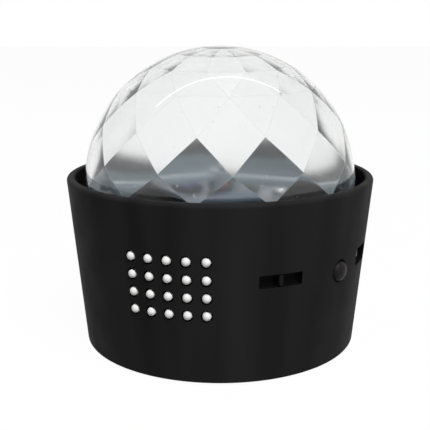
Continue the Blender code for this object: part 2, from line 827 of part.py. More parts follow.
def housing():
    made = part("outer_housing", turned(housing_profile(), ROUND_LARGE, closed=True), BLACK_PLASTIC)
    unite(made, tool("housing_posts", post_mesh()))
    unite(made, tool("housing_cover_posts", cover_post_mesh()))
    unite(made, tool("housing_cover_ribs", cover_rib_mesh()))
    cut(made, tool("housing_post_holes", post_hole_mesh()))
    cut(made, tool("housing_sound_holes", grille_hole_mesh()))
    cut_switch_slot(made)
    cut_button_hole(made)
    cut_usb_opening(made)


def cut_switch_slot(made):
    """Slot for the finger ridge, and the flat pocket behind it that the slider runs in."""
    inner = slider_face() - SLIDER_THICKNESS - OVERRUN
    pocket_face = slider_face() + SEAT
    outer = outer_radius(SLOT_MIDDLE) + OVERRUN
    middle = SLOT_MIDDLE
    slot = box((-SLOT_LENGTH / 2, SLOT_LENGTH / 2), (-outer, -inner),
               (middle - SLOT_HEIGHT / 2, middle + SLOT_HEIGHT / 2))
    half_length = slider_half_length() + SLIDE_TRAVEL + SEAT
    half_height = slider_half_height() + SEAT
    pocket = box((-half_length, half_length), (-pocket_face, -inner),
                 (middle - half_height, middle + half_height))
    cut(made, tool("switch_slot", slot, turn=SLOT_AZIMUTH))
    cut(made, tool("slider_pocket", pocket, turn=SLOT_AZIMUTH))


def cut_button_hole(made):
    drill = rod(BUTTON_RADIUS + SEAT, -SIDE_WALL - OVERRUN, OVERRUN, ROUND_MEDIUM)
    place = outward(BUTTON_AZIMUTH, outer_radius(BUTTON_MIDDLE), BUTTON_MIDDLE)
    drill.transform(place)
    cut(made, tool("button_hole", drill))


def cut_usb_opening(made):
    middle = USB_MIDDLE
    half_width = USB_OPENING_WIDTH / 2
    half_height = USB_OPENING_HEIGHT / 2
    opening = box((-half_width, half_width),
                  (-outer_radius(middle) - OVERRUN, -usb_wall()),
                  (middle - half_height, middle + half_height))
    cut(made, tool("usb_opening", opening, turn=USB_AZIMUTH))


# Bottom cover, door, feet and cells

def bottom_cover():
    made = part("bottom_cover", rod(COVER_RADIUS, FOOT_STAND, COVER_TOP, ROUND_LARGE), BLACK_PLASTIC)
    outer_length = BOX_INNER_HALF_LENGTH + BOX_WALL
    outer_width = BOX_INNER_HALF_WIDTH + BOX_WALL
    walls = box((-outer_length, outer_length), (-outer_width, outer_width),
                (FOOT_STAND + COVER_THICKNESS / 2, BOX_TOP))
    inside = box((-BOX_INNER_HALF_LENGTH, BOX_INNER_HALF_LENGTH),
                 (-BOX_INNER_HALF_WIDTH, BOX_INNER_HALF_WIDTH),
                 (FOOT_STAND - OVERRUN, BOX_CEILING))
    unite(made, tool("battery_box", walls))
    cut(made, tool("battery_space", inside))
    cut(made, tool("tongue_notches", notch_mesh()))
    cut(made, tool("cover_holes", cover_hole_mesh()))


def tongue_places():
    """Offsets across the door of its tongues, which lie between the cells."""
    return [CELL_PITCH * (i - (CELLS - 2) / 2) for i in range(CELLS - 1)]


def notch_mesh():
    """Notches through the box wall that give the tongues room to swing."""
    half = TONGUE_WIDTH / 2 + SEAT
    riser = COVER_TOP + SEAT + TONGUE_THICKNESS - FOOT_STAND
    swing = math.hypot(riser, TONGUE_REACH)
    notch = box((-BOX_INNER_HALF_LENGTH - BOX_WALL - NOTCH_GAP, -BOX_INNER_HALF_LENGTH + OVERRUN),
                (-half, half),
                (COVER_TOP - NOTCH_DIP, FOOT_STAND + swing + NOTCH_GAP))
    return gather([(notch, place) for place in shifted([(0.0, y, 0.0) for y in tongue_places()])])


def cover_hole_mesh():
    """Groove for the foot ring and stepped holes for the cover screws."""
    groove = tube(FOOT_RING_OUTER + SEAT, FOOT_RING_INNER - SEAT, FOOT_STAND - OVERRUN,
                  FOOT_RING_THICKNESS + SEAT, ROUND_LARGE)
    pieces = [(groove, Matrix.Identity(4))]
    shank = SCREW_SHANK_RADIUS + SEAT
    head = SCREW_HEAD_RADIUS + SEAT
    web = COVER_TOP - COVER_SCREW_WEB
    stepped = turned([
        (0.0, COVER_TOP + OVERRUN),
        (shank, COVER_TOP + OVERRUN),
        (shank, web),
        (head, web),
        (head, FOOT_STAND - OVERRUN),
        (0.0, FOOT_STAND - OVERRUN),
    ], ROUND_SMALL)
    places = [around(COVER_SCREW_CIRCLE, azimuth) for azimuth in cover_screw_azimuths()]
    pieces += [(stepped, place) for place in shifted(places)]
    return gather(pieces)


def cover_screws():
    underside = FOOT_STAND + COVER_SCREW_SUNK + SCREW_HEAD_HEIGHT
    places = [around(COVER_SCREW_CIRCLE, azimuth) for azimuth in cover_screw_azimuths()]
    screws("cover_screw", standard_screw(), [at(place, underside) for place in places])


def foot_ring():
    """Rubber ring in a groove of the bottom cover, which the light stands on."""
    edge = FOOT_STAND / 2
    ring = turned([
        (FOOT_RING_OUTER, FOOT_RING_THICKNESS),
        (FOOT_RING_OUTER, edge),
        (FOOT_RING_OUTER - edge, 0.0),
        (FOOT_RING_INNER + edge, 0.0),
        (FOOT_RING_INNER, edge),
        (FOOT_RING_INNER, FOOT_RING_THICKNESS),
    ], ROUND_LARGE, closed=True)
    part("rubber_foot_ring", ring, RUBBER)


def battery_door():
    """Door whose origin is on the edge that it tilts about."""
    length = 2 * DOOR_HALF_LENGTH
    panel = box((0.0, length), (-DOOR_HALF_WIDTH, DOOR_HALF_WIDTH), (0.0, DOOR_THICKNESS))
    made = part("battery_door", panel, BLACK_PLASTIC, location=(-DOOR_HALF_LENGTH, 0.0, FOOT_STAND))
    half = TONGUE_WIDTH / 2
    low = COVER_TOP + SEAT - FOOT_STAND
    high = low + TONGUE_THICKNESS
    riser = box((0.0, TONGUE_ROOT), (-half, half), (DOOR_THICKNESS / 2, high))
    hook = box((-TONGUE_REACH, TONGUE_ROOT / 2), (-half, half), (low, high))
    places = shifted([(0.0, y, 0.0) for y in tongue_places()])
    unite(made, tool("door_risers", gather([(riser, place) for place in places]), location=made.location))
    unite(made, tool("door_tongues", gather([(hook, place) for place in places]), location=made.location))
    notch = rod(FINGER_NOTCH_RADIUS, -OVERRUN, FINGER_NOTCH_DEPTH, ROUND_SMALL)
    notch.transform(Matrix.Translation((length - FINGER_NOTCH_RADIUS - FINGER_NOTCH_INSET, 0.0, 0.0)))
    cut(made, tool("finger_notch", notch, location=made.location))


def cell_rows():
    """Offset across the box and direction of each cell; neighbours point opposite ways."""
    return [(CELL_PITCH * (i - (CELLS - 1) / 2), 1 - 2 * (i % 2)) for i in range(CELLS)]


def cell_end():
    """Distance from the box's middle to the nub's end."""
    return BOX_INNER_HALF_LENGTH - 2 * SEAT - CONTACT_THICKNESS


def battery_cells():
    body = CELL_LENGTH - CELL_NUB_HEIGHT
    mesh = turned([
        (0.0, CELL_LENGTH),
        (CELL_NUB_RADIUS, CELL_LENGTH),
        (CELL_NUB_RADIUS, body),
        (CELL_RADIUS, body),
        (CELL_RADIUS, 0.0),
        (0.0, 0.0),
    ], ROUND_SMALL + ROUND_TINY)
    for number, (offset, direction) in enumerate(cell_rows(), start=1):
        lay = Matrix.Rotation(math.radians(90.0 * direction), 4, "Y")
        stand = Matrix.Translation((direction * (cell_end() - CELL_LENGTH), offset, CELL_HEIGHT))
        cell = mesh.copy()
        cell.transform(stand @ lay)
        part("battery_cell_%d" % number, cell, CELL_WRAP)


def contact_plate():
    """Plate against the end wall of the battery box, at +X."""
    half_width = CONTACT_WIDTH / 2
    half_height = CONTACT_HEIGHT / 2
    outer = BOX_INNER_HALF_LENGTH - SEAT
    return box((outer - CONTACT_THICKNESS, outer), (-half_width, half_width), (-half_height, half_height))


def contact_spring():
    """Conical coil that grows out of the plate at +X towards the cell's flat end."""
    steps = SPRING_TURNS * ROUND_TINY
    start = BOX_INNER_HALF_LENGTH - SEAT - CONTACT_THICKNESS / 2
    end = start - CONTACT_THICKNESS / 2 - SPRING_LENGTH + SPRING_WIRE_RADIUS
    points = []
    for i in range(steps + 1):
        share = i / steps
        radius = SPRING_LARGE_RADIUS + (SPRING_SMALL_RADIUS - SPRING_LARGE_RADIUS) * share
        angle = 2 * math.pi * SPRING_TURNS * share
        along = start + (end - start) * share
        points.append((along, radius * math.cos(angle), radius * math.sin(angle)))
    return wire(points, SPRING_WIRE_RADIUS, 0)


def battery_contacts():
    """A flat plate at each cell's nub and a plate with a spring at its flat end."""
    for number, (offset, direction) in enumerate(cell_rows(), start=1):
        place = (0.0, offset, CELL_HEIGHT)
        nub_turn = 90.0 - 90.0 * direction
        spring_turn = nub_turn + 180.0
        part("flat_contact_%d" % number, contact_plate(), STEEL, location=place, turn=nub_turn)
        made = part("spring_contact_%d" % number, contact_plate(), STEEL, location=place, turn=spring_turn)
        coil = tool("spring_coil_%d" % number, contact_spring(), location=place, turn=spring_turn)
        unite(made, coil)


# Main board and what it carries

def clipped_disc(radius, back):
    """Outline of a disc that is cut off straight behind, at a distance in front of the axis."""
    start = math.asin(back / radius)
    sweep = math.pi - 2 * start
    steps = ROUND_LARGE // 2
    points = []
    for i in range(steps + 1):
        angle = -start - sweep * i / steps
        points.append((radius * math.cos(angle), radius * math.sin(angle)))
    return points


def main_board():
    hole = SCREW_SHANK_RADIUS + SEAT
    outlines = [clipped_disc(board_radius(), BUSH_FLANGE_RADIUS + SEAT)]
    outlines += [circle(place, hole, ROUND_TINY) for place in board_posts()]
    part("main_board", prism(outlines, BOARD_BOTTOM, BOARD_TOP), GREEN_BOARD)
    screws("board_screw", standard_screw(), [at(place, BOARD_BOTTOM - SEAT) for place in board_posts()])


def controller_chip():
    half_length = CHIP_LENGTH / 2
    half_width = CHIP_WIDTH / 2
    chip = box((-half_length, half_length), (-half_width, half_width), (0.0, CHIP_HEIGHT))
    part("controller_chip", chip, BLACK_PLASTIC, location=(*CHIP_PLACE, BOARD_TOP + SEAT))


def microphone():
    """Capsule in a rubber boot behind the sound holes, standing on the main board."""
    outer = MIC_RADIUS + SEAT + MIC_BOOT_WALL
    height = BOARD_TOP + SEAT + outer
    pad_inside = inner_radius(height - outer) - SEAT - PAD_THICKNESS
    face = math.sqrt(pad_inside ** 2 - outer ** 2) - SEAT
    floor = -MIC_LENGTH - SEAT
    boot = turned([
        (outer, 0.0),
        (outer, floor - MIC_BOOT_BACK),
        (0.0, floor - MIC_BOOT_BACK),
        (0.0, floor),
        (MIC_RADIUS + SEAT, floor),
        (MIC_RADIUS + SEAT, 0.0),
    ], ROUND_SMALL, closed=True)
    boot.transform(outward(MIC_AZIMUTH, face, height))
    part("microphone_boot", boot, RUBBER)
    capsule = rod(MIC_RADIUS, -MIC_LENGTH, 0.0)
    capsule.transform(outward(MIC_AZIMUTH, face, height))
    part("microphone", capsule, STEEL)


def grille_pad():
    """Curved pad behind the sound holes with a pip in each of them."""
    half_height = (GRILLE_ROWS - 1) * GRILLE_ROW_PITCH / 2 + PAD_MARGIN
    low = GRILLE_HEIGHT - half_height
    high = GRILLE_HEIGHT + half_height
    half_arc = (GRILLE_COLUMNS - 1) * GRILLE_COLUMN_PITCH / 2 + PAD_MARGIN
    sweep = math.degrees(2 * half_arc / outer_radius(GRILLE_HEIGHT))
    skin = turned([(inner_radius(high) - SEAT, high), (inner_radius(low) - SEAT, low)],
                  ROUND_TINY, sweep=sweep)
    made = part("grille_pad", skin, WHITE_FOAM, turn=GRILLE_AZIMUTH - 90.0 - sweep / 2)
    shell = made.modifiers.new("thickness", "SOLIDIFY")
    shell.thickness = PAD_THICKNESS
    shell.offset = -1.0
    radius = GRILLE_HOLE_RADIUS - PIP_GAP
    pip = turned([
        (0.0, PIP_STAND),
        (radius / 2, PIP_STAND - PIP_CROWN / 4),
        (radius, PIP_STAND - PIP_CROWN),
        (radius, -SIDE_WALL - PAD_THICKNESS / 2),
        (0.0, -SIDE_WALL - PAD_THICKNESS / 2),
    ], ROUND_TINY)
    places = [outward(azimuth, outer_radius(height), height) for azimuth, height in grille_places()]
    unite(made, tool("grille_pips", gather([(pip, place) for place in places])))


def slide_switch():
    """Finger slider behind the slot, and the switch on the board that its fork drives."""
    axis = axis_empty("slide_switch_axis", SLOT_AZIMUTH)
    face = slider_face()
    middle = SLOT_MIDDLE
    back = face - SLIDER_THICKNESS
    half_length = slider_half_length()
    half_height = slider_half_height()
    plate = box((-half_length, half_length), (-SLIDER_THICKNESS, 0.0), (-half_height, half_height))
    slider = part("switch_slider", plate, GREY_PLASTIC, location=(0.0, -back, middle), parent=axis)
    ridge_height = SLOT_HEIGHT / 2 - SEAT
    ridge = box((-RIDGE_WIDTH / 2, RIDGE_WIDTH / 2),
                (-SLIDER_THICKNESS - SLOT_RECESS, -SLIDER_THICKNESS / 2), (-ridge_height, ridge_height))
    fork_inner = LEVER_WIDTH / 2 + SEAT
    fork_outer = fork_inner + FORK_WALL
    tines = [box(span, (-SLIDER_THICKNESS / 2, FORK_LENGTH), (-FORK_HEIGHT / 2, FORK_HEIGHT / 2))
             for span in ((-fork_outer, -fork_inner), (fork_inner, fork_outer))]
    still = Matrix.Identity(4)
    place = (0.0, -back, middle)
    unite(slider, tool("slider_ridge", ridge, location=place, parent=axis))
    unite(slider, tool("slider_fork", gather([(tine, still) for tine in tines]), location=place, parent=axis))
    front = board_front()
    low = BOARD_TOP + SEAT
    half_width = SWITCH_BODY_WIDTH / 2
    body = box((-half_width, half_width), (-front, SWITCH_BODY_DEPTH - front),
               (low, low + SWITCH_BODY_HEIGHT))
    fixed = part("slide_switch_body", body, STEEL, parent=axis)
    half = LEVER_WIDTH / 2
    room = half + SLIDE_TRAVEL + SEAT
    depth = LEVER_DEPTH_IN_BODY + SEAT
    track = box((-room, room), (-front - OVERRUN, depth - front),
                (middle - half - SEAT, middle + half + SEAT))
    cut(fixed, tool("switch_track", track, parent=axis))
    lever = box((-half, half), (SEAT, back - front + LEVER_DEPTH_IN_BODY), (-half, half))
    part("switch_lever", lever, WHITE_PLASTIC, location=place, parent=axis)


def push_button():
    """Sprung cap in the wall, and the push switch on the board behind it."""
    height = BUTTON_MIDDLE
    axis = axis_empty("push_button_axis", BUTTON_AZIMUTH)
    outside = outer_radius(height)
    flange_face = button_flange_face() - outside
    flange_back = flange_face - BUTTON_FLANGE_THICKNESS
    crown = [(BUTTON_RADIUS * out_share, BUTTON_STAND - BUTTON_CROWN * drop_share)
             for out_share, drop_share in BUTTON_CROWN_SHARES]
    cap = turned([
        (0.0, BUTTON_STAND),
        *crown,
        (BUTTON_RADIUS, BUTTON_STAND - BUTTON_CROWN),
        (BUTTON_RADIUS, flange_face),
        (button_flange_radius(), flange_face),
        (button_flange_radius(), flange_back),
        (0.0, flange_back),
    ], ROUND_MEDIUM)
    lay = Matrix.Rotation(math.radians(90.0), 4, "X")
    cap.transform(lay)
    part("push_button", cap, GREY_PLASTIC, location=(0.0, -outside, height), parent=axis)
    front = board_front()
    half = TACT_WIDTH / 2
    low = BOARD_TOP + SEAT
    body = box((-half, half), (-front, TACT_DEPTH - front), (low, low + TACT_HEIGHT))
    fixed = part("tact_switch", body, STEEL, parent=axis)
    depth = 2 * BUTTON_TRAVEL
    hole = rod(PLUNGER_RADIUS + SEAT, -depth - BUTTON_TRAVEL, OVERRUN, ROUND_SMALL)
    hole.transform(Matrix.Translation((0.0, -front, height)) @ lay)
    cut(fixed, tool("plunger_hole", hole, parent=axis))
    tip = outside + flange_back - SEAT
    plunger = rod(PLUNGER_RADIUS, front - depth, tip, ROUND_SMALL)
    plunger.transform(lay)
    part("tact_plunger", plunger, WHITE_PLASTIC, location=(0.0, 0.0, height), parent=axis)


def usb_port():
    """Metal shell with its tongue, on a foot that stands on the main board."""
    axis = axis_empty("usb_axis", USB_AZIMUTH)
    face = usb_face()
    middle = USB_MIDDLE
    half_width = USB_SHELL_WIDTH / 2
    half_height = USB_SHELL_HEIGHT / 2
    shell = box((-half_width, half_width), (-face, USB_SHELL_LENGTH - face),
                (middle - half_height, middle + half_height))
    made = part("usb_port", shell, STEEL, parent=axis)
    inner_width = half_width - USB_SHELL_WALL
    inner_height = half_height - USB_SHELL_WALL
    cavity = box((-inner_width, inner_width), (-face - OVERRUN, USB_CAVITY_DEPTH - face),
                 (middle - inner_height, middle + inner_height))
    cut(made, tool("usb_cavity", cavity, parent=axis))
    tongue = box((-USB_TONGUE_WIDTH / 2, USB_TONGUE_WIDTH / 2),
                 (USB_TONGUE_SETBACK - face, USB_CAVITY_DEPTH + OVERRUN - face),
                 (middle - USB_TONGUE_THICKNESS / 2, middle + USB_TONGUE_THICKNESS / 2))
    unite(made, tool("usb_tongue", tongue, parent=axis))
    foot = box((-half_width + USB_SHELL_WALL, half_width - USB_SHELL_WALL),
               (-board_front(), USB_SHELL_LENGTH - OVERRUN - face),
               (BOARD_TOP + SEAT, middle - half_height + USB_SHELL_WALL / 2))
    unite(made, tool("usb_foot", foot, parent=axis))


# Gear train

def convex_hull(points):
    """Corners of the smallest convex outline round flat points, counter-clockwise."""
    ordered = sorted(set((round(p[0], 9), round(p[1], 9)) for p in points))

    def half(sequence):
        chain = []
        for point in sequence:
            while len(chain) > 1 and turn_of(chain[-2], chain[-1], point) <= 0:
                chain.pop()
            chain.append(point)
        return chain[:-1]

    return half(ordered) + half(ordered[::-1])


def turn_of(a, b, c):
    return (b[0] - a[0]) * (c[1] - a[1]) - (b[1] - a[1]) * (c[0] - a[0])


def gear_plate():
    """Plate that carries the lower ends of the axles, the thrust bush and the motor."""
    corners = plate_posts() + [second_axis(), motor_axis(), Vector((0.0, 0.0, 0.0))] + motor_screws()
    ringed = [point for corner in corners for point in circle(corner, PLATE_EDGE, ROUND_SMALL)]
    outlines = [convex_hull(ringed)]
    outlines += [circle(place, SCREW_SHANK_RADIUS + SEAT, ROUND_TINY) for place in plate_posts()]
    outlines += [circle(place, AXLE_RADIUS + SEAT, ROUND_TINY) for place in (first_axis(), second_axis())]
    outlines += [circle(place, SMALL_SHANK_RADIUS + SEAT, ROUND_TINY) for place in motor_screws()]
    outlines.append(circle((0.0, 0.0), BUSH_RADIUS + SEAT, ROUND_MEDIUM))
    outlines.append(circle(motor_axis(), MOTOR_NOSE_RADIUS + SEAT, ROUND_MEDIUM))
    part("gear_plate", prism(outlines, PLATE_BOTTOM, PLATE_TOP), WHITE_PLASTIC)
    places = [at(place, PLATE_BOTTOM - SEAT) for place in plate_posts()]
    screws("gear_plate_screw", standard_screw(), places)


def motor():
    """Flat-sided can under the gear plate, with its shaft and pinion."""
    centre = motor_axis()
    bore = MOTOR_SHAFT_RADIUS + SEAT
    floor = -MOTOR_SHAFT_DEPTH - SEAT
    can = turned([
        (bore, MOTOR_NOSE_HEIGHT),
        (MOTOR_NOSE_RADIUS, MOTOR_NOSE_HEIGHT),
        (MOTOR_NOSE_RADIUS, 0.0),
        (MOTOR_RADIUS, 0.0),
        (MOTOR_RADIUS, -MOTOR_LENGTH),
        (0.0, -MOTOR_LENGTH),
        (0.0, floor),
        (bore, floor),
    ], ROUND_MEDIUM, closed=True)
    made = part("motor", can, STEEL, location=at(centre, MOTOR_TOP))
    side = MOTOR_RADIUS + OVERRUN
    flats = [box((-side, side), span, (-MOTOR_LENGTH - OVERRUN, MOTOR_NOSE_HEIGHT + OVERRUN))
             for span in ((-side, -MOTOR_FLAT), (MOTOR_FLAT, side))]
    still = Matrix.Identity(4)
    cut(made, tool("motor_flats", gather([(flat, still) for flat in flats]), location=made.location))
    head_seat = PLATE_TOP + SEAT
    shank_end = head_seat - SMALL_LENGTH
    hole = rod(SMALL_SHANK_RADIUS + SEAT, shank_end - SEAT, MOTOR_TOP + OVERRUN, ROUND_TINY)
    cut(made, tool("motor_screw_holes", gather([(hole, place) for place in shifted(motor_screws())])))
    places = [at(place, head_seat) for place in motor_screws()]
    screws("motor_screw", small_screw(), places, downward=True)
    pinion_top = LAYER_C_BOTTOM + GEAR_THICKNESS
    shaft = rod(MOTOR_SHAFT_RADIUS, MOTOR_TOP - MOTOR_SHAFT_DEPTH, pinion_top, ROUND_SMALL)
    part("motor_shaft", shaft, STEEL, location=centre)
    facing = gap_towards(motor_axis_angle() + 180.0, PINION_TEETH)
    pinion = gear(PINION_TEETH, facing, bore, LAYER_C_BOTTOM, pinion_top)
    part("motor_pinion", pinion, BRONZE, location=centre)


def compound_gear(name, centre, wheel_low, wheel_facing, pinion_facing):
    """Wheel with a smaller pinion moulded on top of it."""
    bore = AXLE_RADIUS + SEAT
    wheel_top = wheel_low + GEAR_THICKNESS
    pinion_top = wheel_top + LAYER_GAP + GEAR_THICKNESS
    wheel = gear(WHEEL_TEETH, wheel_facing, bore, wheel_low, wheel_top)
    made = part(name, wheel, WHITE_PLASTIC, location=centre)
    pinion = gear(PINION_TEETH, pinion_facing, bore, wheel_top - GEAR_THICKNESS / 2, pinion_top)
    unite(made, tool(name + "_pinion", pinion, location=centre))


def gear_train():
    first = first_axis()
    second = second_axis()
    compound_gear("first_gear", first, LAYER_C_BOTTOM, motor_axis_angle(),
                  gap_towards(first_axis_angle() + 180.0, PINION_TEETH))
    compound_gear("second_gear", second, LAYER_B_BOTTOM, first_axis_angle(),
                  gap_towards(SECOND_AXIS_ANGLE + 180.0, PINION_TEETH))
    axle_top = DECK_BOTTOM + AXLE_SOCKET_DEPTH - SEAT
    part("first_axle", rod(AXLE_RADIUS, PLATE_BOTTOM, axle_top), STEEL, location=first)
    collar = AXLE_RADIUS + AXLE_COLLAR_WALL
    stepped = turned([
        (0.0, axle_top),
        (AXLE_RADIUS, axle_top),
        (AXLE_RADIUS, LAYER_B_BOTTOM - SEAT),
        (collar, LAYER_B_BOTTOM - SEAT),
        (collar, PLATE_TOP + SEAT),
        (AXLE_RADIUS, PLATE_TOP + SEAT),
        (AXLE_RADIUS, PLATE_BOTTOM),
        (0.0, PLATE_BOTTOM),
    ], ROUND_SMALL)
    part("second_axle", stepped, STEEL, location=second)


# Dome, its shaft and its bushes

def output_shaft():
    bore = SHAFT_RADIUS + SEAT
    tapped = SCREW_SHANK_RADIUS + SEAT
    floor = SHAFT_TOP - SCREW_LENGTH
    shaft = turned([
        (tapped, SHAFT_TOP),
        (SHAFT_RADIUS, SHAFT_TOP),
        (SHAFT_RADIUS, SHAFT_BOTTOM),
        (0.0, SHAFT_BOTTOM),
        (0.0, floor),
        (tapped, floor),
    ], ROUND_SMALL, closed=True)
    part("output_shaft", shaft, STEEL)
    top = LAYER_A_BOTTOM + GEAR_THICKNESS
    wheel = gear(OUTPUT_TEETH, SECOND_AXIS_ANGLE, bore, LAYER_A_BOTTOM, top)
    made = part("output_gear", wheel, WHITE_PLASTIC)
    hub = tube(bore + GEAR_HUB_WALL, bore, PLATE_TOP + SEAT, LAYER_A_BOTTOM + GEAR_THICKNESS / 2, ROUND_SMALL)
    unite(made, tool("output_gear_hub", hub))


def bushes():
    bore = SHAFT_RADIUS + SEAT
    seat = DECK_TOP + SEAT
    upper = turned([
        (BUSH_FLANGE_RADIUS, seat + BUSH_FLANGE_THICKNESS),
        (BUSH_FLANGE_RADIUS, seat),
        (BUSH_RADIUS, seat),
        (BUSH_RADIUS, DECK_BOTTOM),
        (bore, DECK_BOTTOM),
        (bore, seat + BUSH_FLANGE_THICKNESS),
    ], ROUND_MEDIUM, closed=True)
    part("upper_bush", upper, BRONZE)
    seat = PLATE_BOTTOM - SEAT
    floor = THRUST_BOTTOM + THRUST_FLOOR
    lower = turned([
        (BUSH_RADIUS, PLATE_TOP),
        (BUSH_RADIUS, seat),
        (BUSH_FLANGE_RADIUS, seat),
        (BUSH_FLANGE_RADIUS, THRUST_BOTTOM),
        (0.0, THRUST_BOTTOM),
        (0.0, floor),
        (bore, floor),
        (bore, PLATE_TOP),
    ], ROUND_MEDIUM, closed=True)
    part("thrust_bush", lower, BRONZE)


def led_board():
    outlines = [circle((0.0, 0.0), LED_BOARD_RADIUS, ROUND_LARGE)]
    outlines.append(circle((0.0, 0.0), BUSH_FLANGE_RADIUS + SEAT, ROUND_MEDIUM))
    outlines += [circle(place, SMALL_SHANK_RADIUS + SEAT, ROUND_TINY) for place in led_posts()]
    part("led_board", prism(outlines, LED_BOARD_BOTTOM, LED_BOARD_TOP), DARK_BOARD)
    places = [at(place, LED_BOARD_TOP + SEAT) for place in led_posts()]
    screws("led_board_screw", small_screw(), places, downward=True)


def leds():
    lens_low = LED_BASE_HEIGHT
    profile = [(0.0, lens_low + LED_LENS_HEIGHT)]
    for degrees in (60.0, 30.0, 0.0):
        angle = math.radians(degrees)
        profile.append((LED_LENS_RADIUS * math.cos(angle), lens_low + LED_LENS_HEIGHT * math.sin(angle)))
    profile += [(LED_BASE_RADIUS, lens_low), (LED_BASE_RADIUS, 0.0), (0.0, 0.0)]
    for number, (name, look) in enumerate((("led_red", RED_LENS), ("led_green", GREEN_LENS),
                                           ("led_blue", BLUE_LENS))):
        place = around(LED_CIRCLE, 120.0 * number)
        part(name, turned(profile, ROUND_SMALL), look, location=at(place, LED_BOARD_TOP + SEAT))


def between(height, low, high):
    """Radius at a height on the straight line through two points, each a radius and a height."""
    return low[0] + (high[0] - low[0]) * (height - low[1]) / (high[1] - low[1])


def facet_corners():
    """Rings of corners of the dome's hollow: radius, height over the dome's centre, and azimuth.

    They lie on the inner sphere, but the lowest and the third are drawn in a little, which makes the
    kites that stand on the two lowest rings flat.
    """
    step = 360.0 / FACETS_AROUND
    side_share = math.cos(math.radians(step / 2))
    radii = [DOME_INNER_RADIUS * math.cos(math.radians(latitude)) for latitude, turn in FACET_RINGS]
    heights = [DOME_INNER_RADIUS * math.sin(math.radians(latitude)) for latitude, turn in FACET_RINGS]
    azimuths = [FACET_AZIMUTH + step * turn for latitude, turn in FACET_RINGS]
    radii[2] = between(heights[2], (radii[1], heights[1]), (radii[3], heights[3])) / side_share
    radii[0] = between(heights[0], (radii[1] * side_share, heights[1]), (radii[2], heights[2]))
    return list(zip(radii, heights, azimuths))


def dome_cavity():
    """Hollow of the dome: the convex body over the rings of corners, with straight sides below them."""
    shape = bmesh.new()
    step = 360.0 / FACETS_AROUND
    rings = facet_corners()
    lowest_radius, _, lowest_azimuth = rings[0]
    rings.insert(0, (lowest_radius, DOME_BOTTOM - OVERRUN - DOME_CENTRE, lowest_azimuth))
    for radius, height, azimuth in rings:
        for i in range(FACETS_AROUND):
            shape.verts.new(at(around(radius, azimuth + step * i), height))
    bmesh.ops.convex_hull(shape, input=shape.verts)
    mesh = bpy.data.meshes.new("dome_cavity")
    shape.to_mesh(mesh)
    shape.free()
    return mesh


def dome():
    low = DOME_BOTTOM - DOME_CENTRE
    start = math.asin(low / DOME_RADIUS)
    steps = ROUND_SMALL
    profile = []
    for i in range(steps + 1):
        angle = math.pi / 2 + (start - math.pi / 2) * i / steps
        profile.append((DOME_RADIUS * math.cos(angle), DOME_RADIUS * math.sin(angle)))
    profile[0] = (0.0, DOME_RADIUS)
    profile.append((0.0, low))
    place = (0.0, 0.0, DOME_CENTRE)
    made = part("dome", turned(profile, ROUND_LARGE), CLEAR_PLASTIC, location=place)
    cut(made, tool("dome_cavity", dome_cavity(), location=place))


def dome_carrier():
    """Ring under the dome's edge, with legs and spokes that reach over the LED board to the hub."""
    inner = CARRIER_RADIUS - CARRIER_RING_WIDTH
    across_corners = facet_corners()[0][0]
    spigot = across_corners * math.cos(math.pi / FACETS_AROUND) - SEAT
    spigot_inner = spigot - SPIGOT_WALL
    top = CARRIER_TOP + SPIGOT_HEIGHT
    ring = turned([
        (spigot, top),
        (spigot, CARRIER_TOP),
        (CARRIER_RADIUS, CARRIER_TOP),
        (CARRIER_RADIUS, CARRIER_BOTTOM),
        (inner, CARRIER_BOTTOM),
        (inner, CARRIER_TOP),
        (spigot_inner, CARRIER_TOP),
        (spigot_inner, top),
    ], ROUND_LARGE, closed=True)
    made = part("dome_carrier", ring, SMOKED_PLASTIC)
    half = SPOKE_WIDTH / 2
    leg_outer = spigot - SPIGOT_WALL / 2
    leg = box((-half, half), (-leg_outer, SPOKE_THICKNESS - leg_outer),
              (CARRIER_BOTTOM + CARRIER_RING_THICKNESS / 2, SPOKE_BOTTOM + SPOKE_THICKNESS / 2))
    spoke = box((-half + SEAT, half - SEAT), (-leg_outer + SEAT, -HUB_RADIUS * HUB_LAP_SHARE),
                (SPOKE_BOTTOM, SPOKE_TOP))
    turns = [Matrix.Rotation(math.radians(60.0 + 360.0 / SPOKES * i), 4, "Z") for i in range(SPOKES)]
    unite(made, tool("carrier_legs", gather([(leg, turn) for turn in turns])))
    unite(made, tool("carrier_spokes", gather([(spoke, turn) for turn in turns])))
    unite(made, tool("carrier_hub", rod(HUB_RADIUS, SPOKE_TOP - HUB_DEPTH, SPOKE_TOP + SEAT, ROUND_MEDIUM)))
    bore = turned([
        (0.0, SPOKE_TOP + OVERRUN),
        (SCREW_SHANK_RADIUS + SEAT, SPOKE_TOP + OVERRUN),
        (SCREW_SHANK_RADIUS + SEAT, SHAFT_TOP + SEAT),
        (SHAFT_RADIUS + SEAT, SHAFT_TOP + SEAT),
        (SHAFT_RADIUS + SEAT, SPOKE_TOP - HUB_DEPTH - OVERRUN),
        (0.0, SPOKE_TOP - HUB_DEPTH - OVERRUN),
    ], ROUND_SMALL)
    cut(made, tool("carrier_bore", bore))
    screw = part("carrier_screw", standard_screw(), STEEL, location=(0.0, 0.0, SPOKE_TOP + 2 * SEAT))
    screw.rotation_euler = DOWNWARD


# Leads

def battery_lead():
    """Two-core lead from the battery box's roof up to the underside of the main board."""
    low = at(BATTERY_LEAD_START, BOX_TOP + SEAT)
    high = at(BATTERY_LEAD_END, BOARD_BOTTOM - SEAT)
    lift = Vector((0.0, 0.0, (high.z - low.z) * LEAD_RISE_SHARE))
    part("battery_lead", wire([low, low + lift, high - lift, high], LEAD_RADIUS), RED_LEAD)


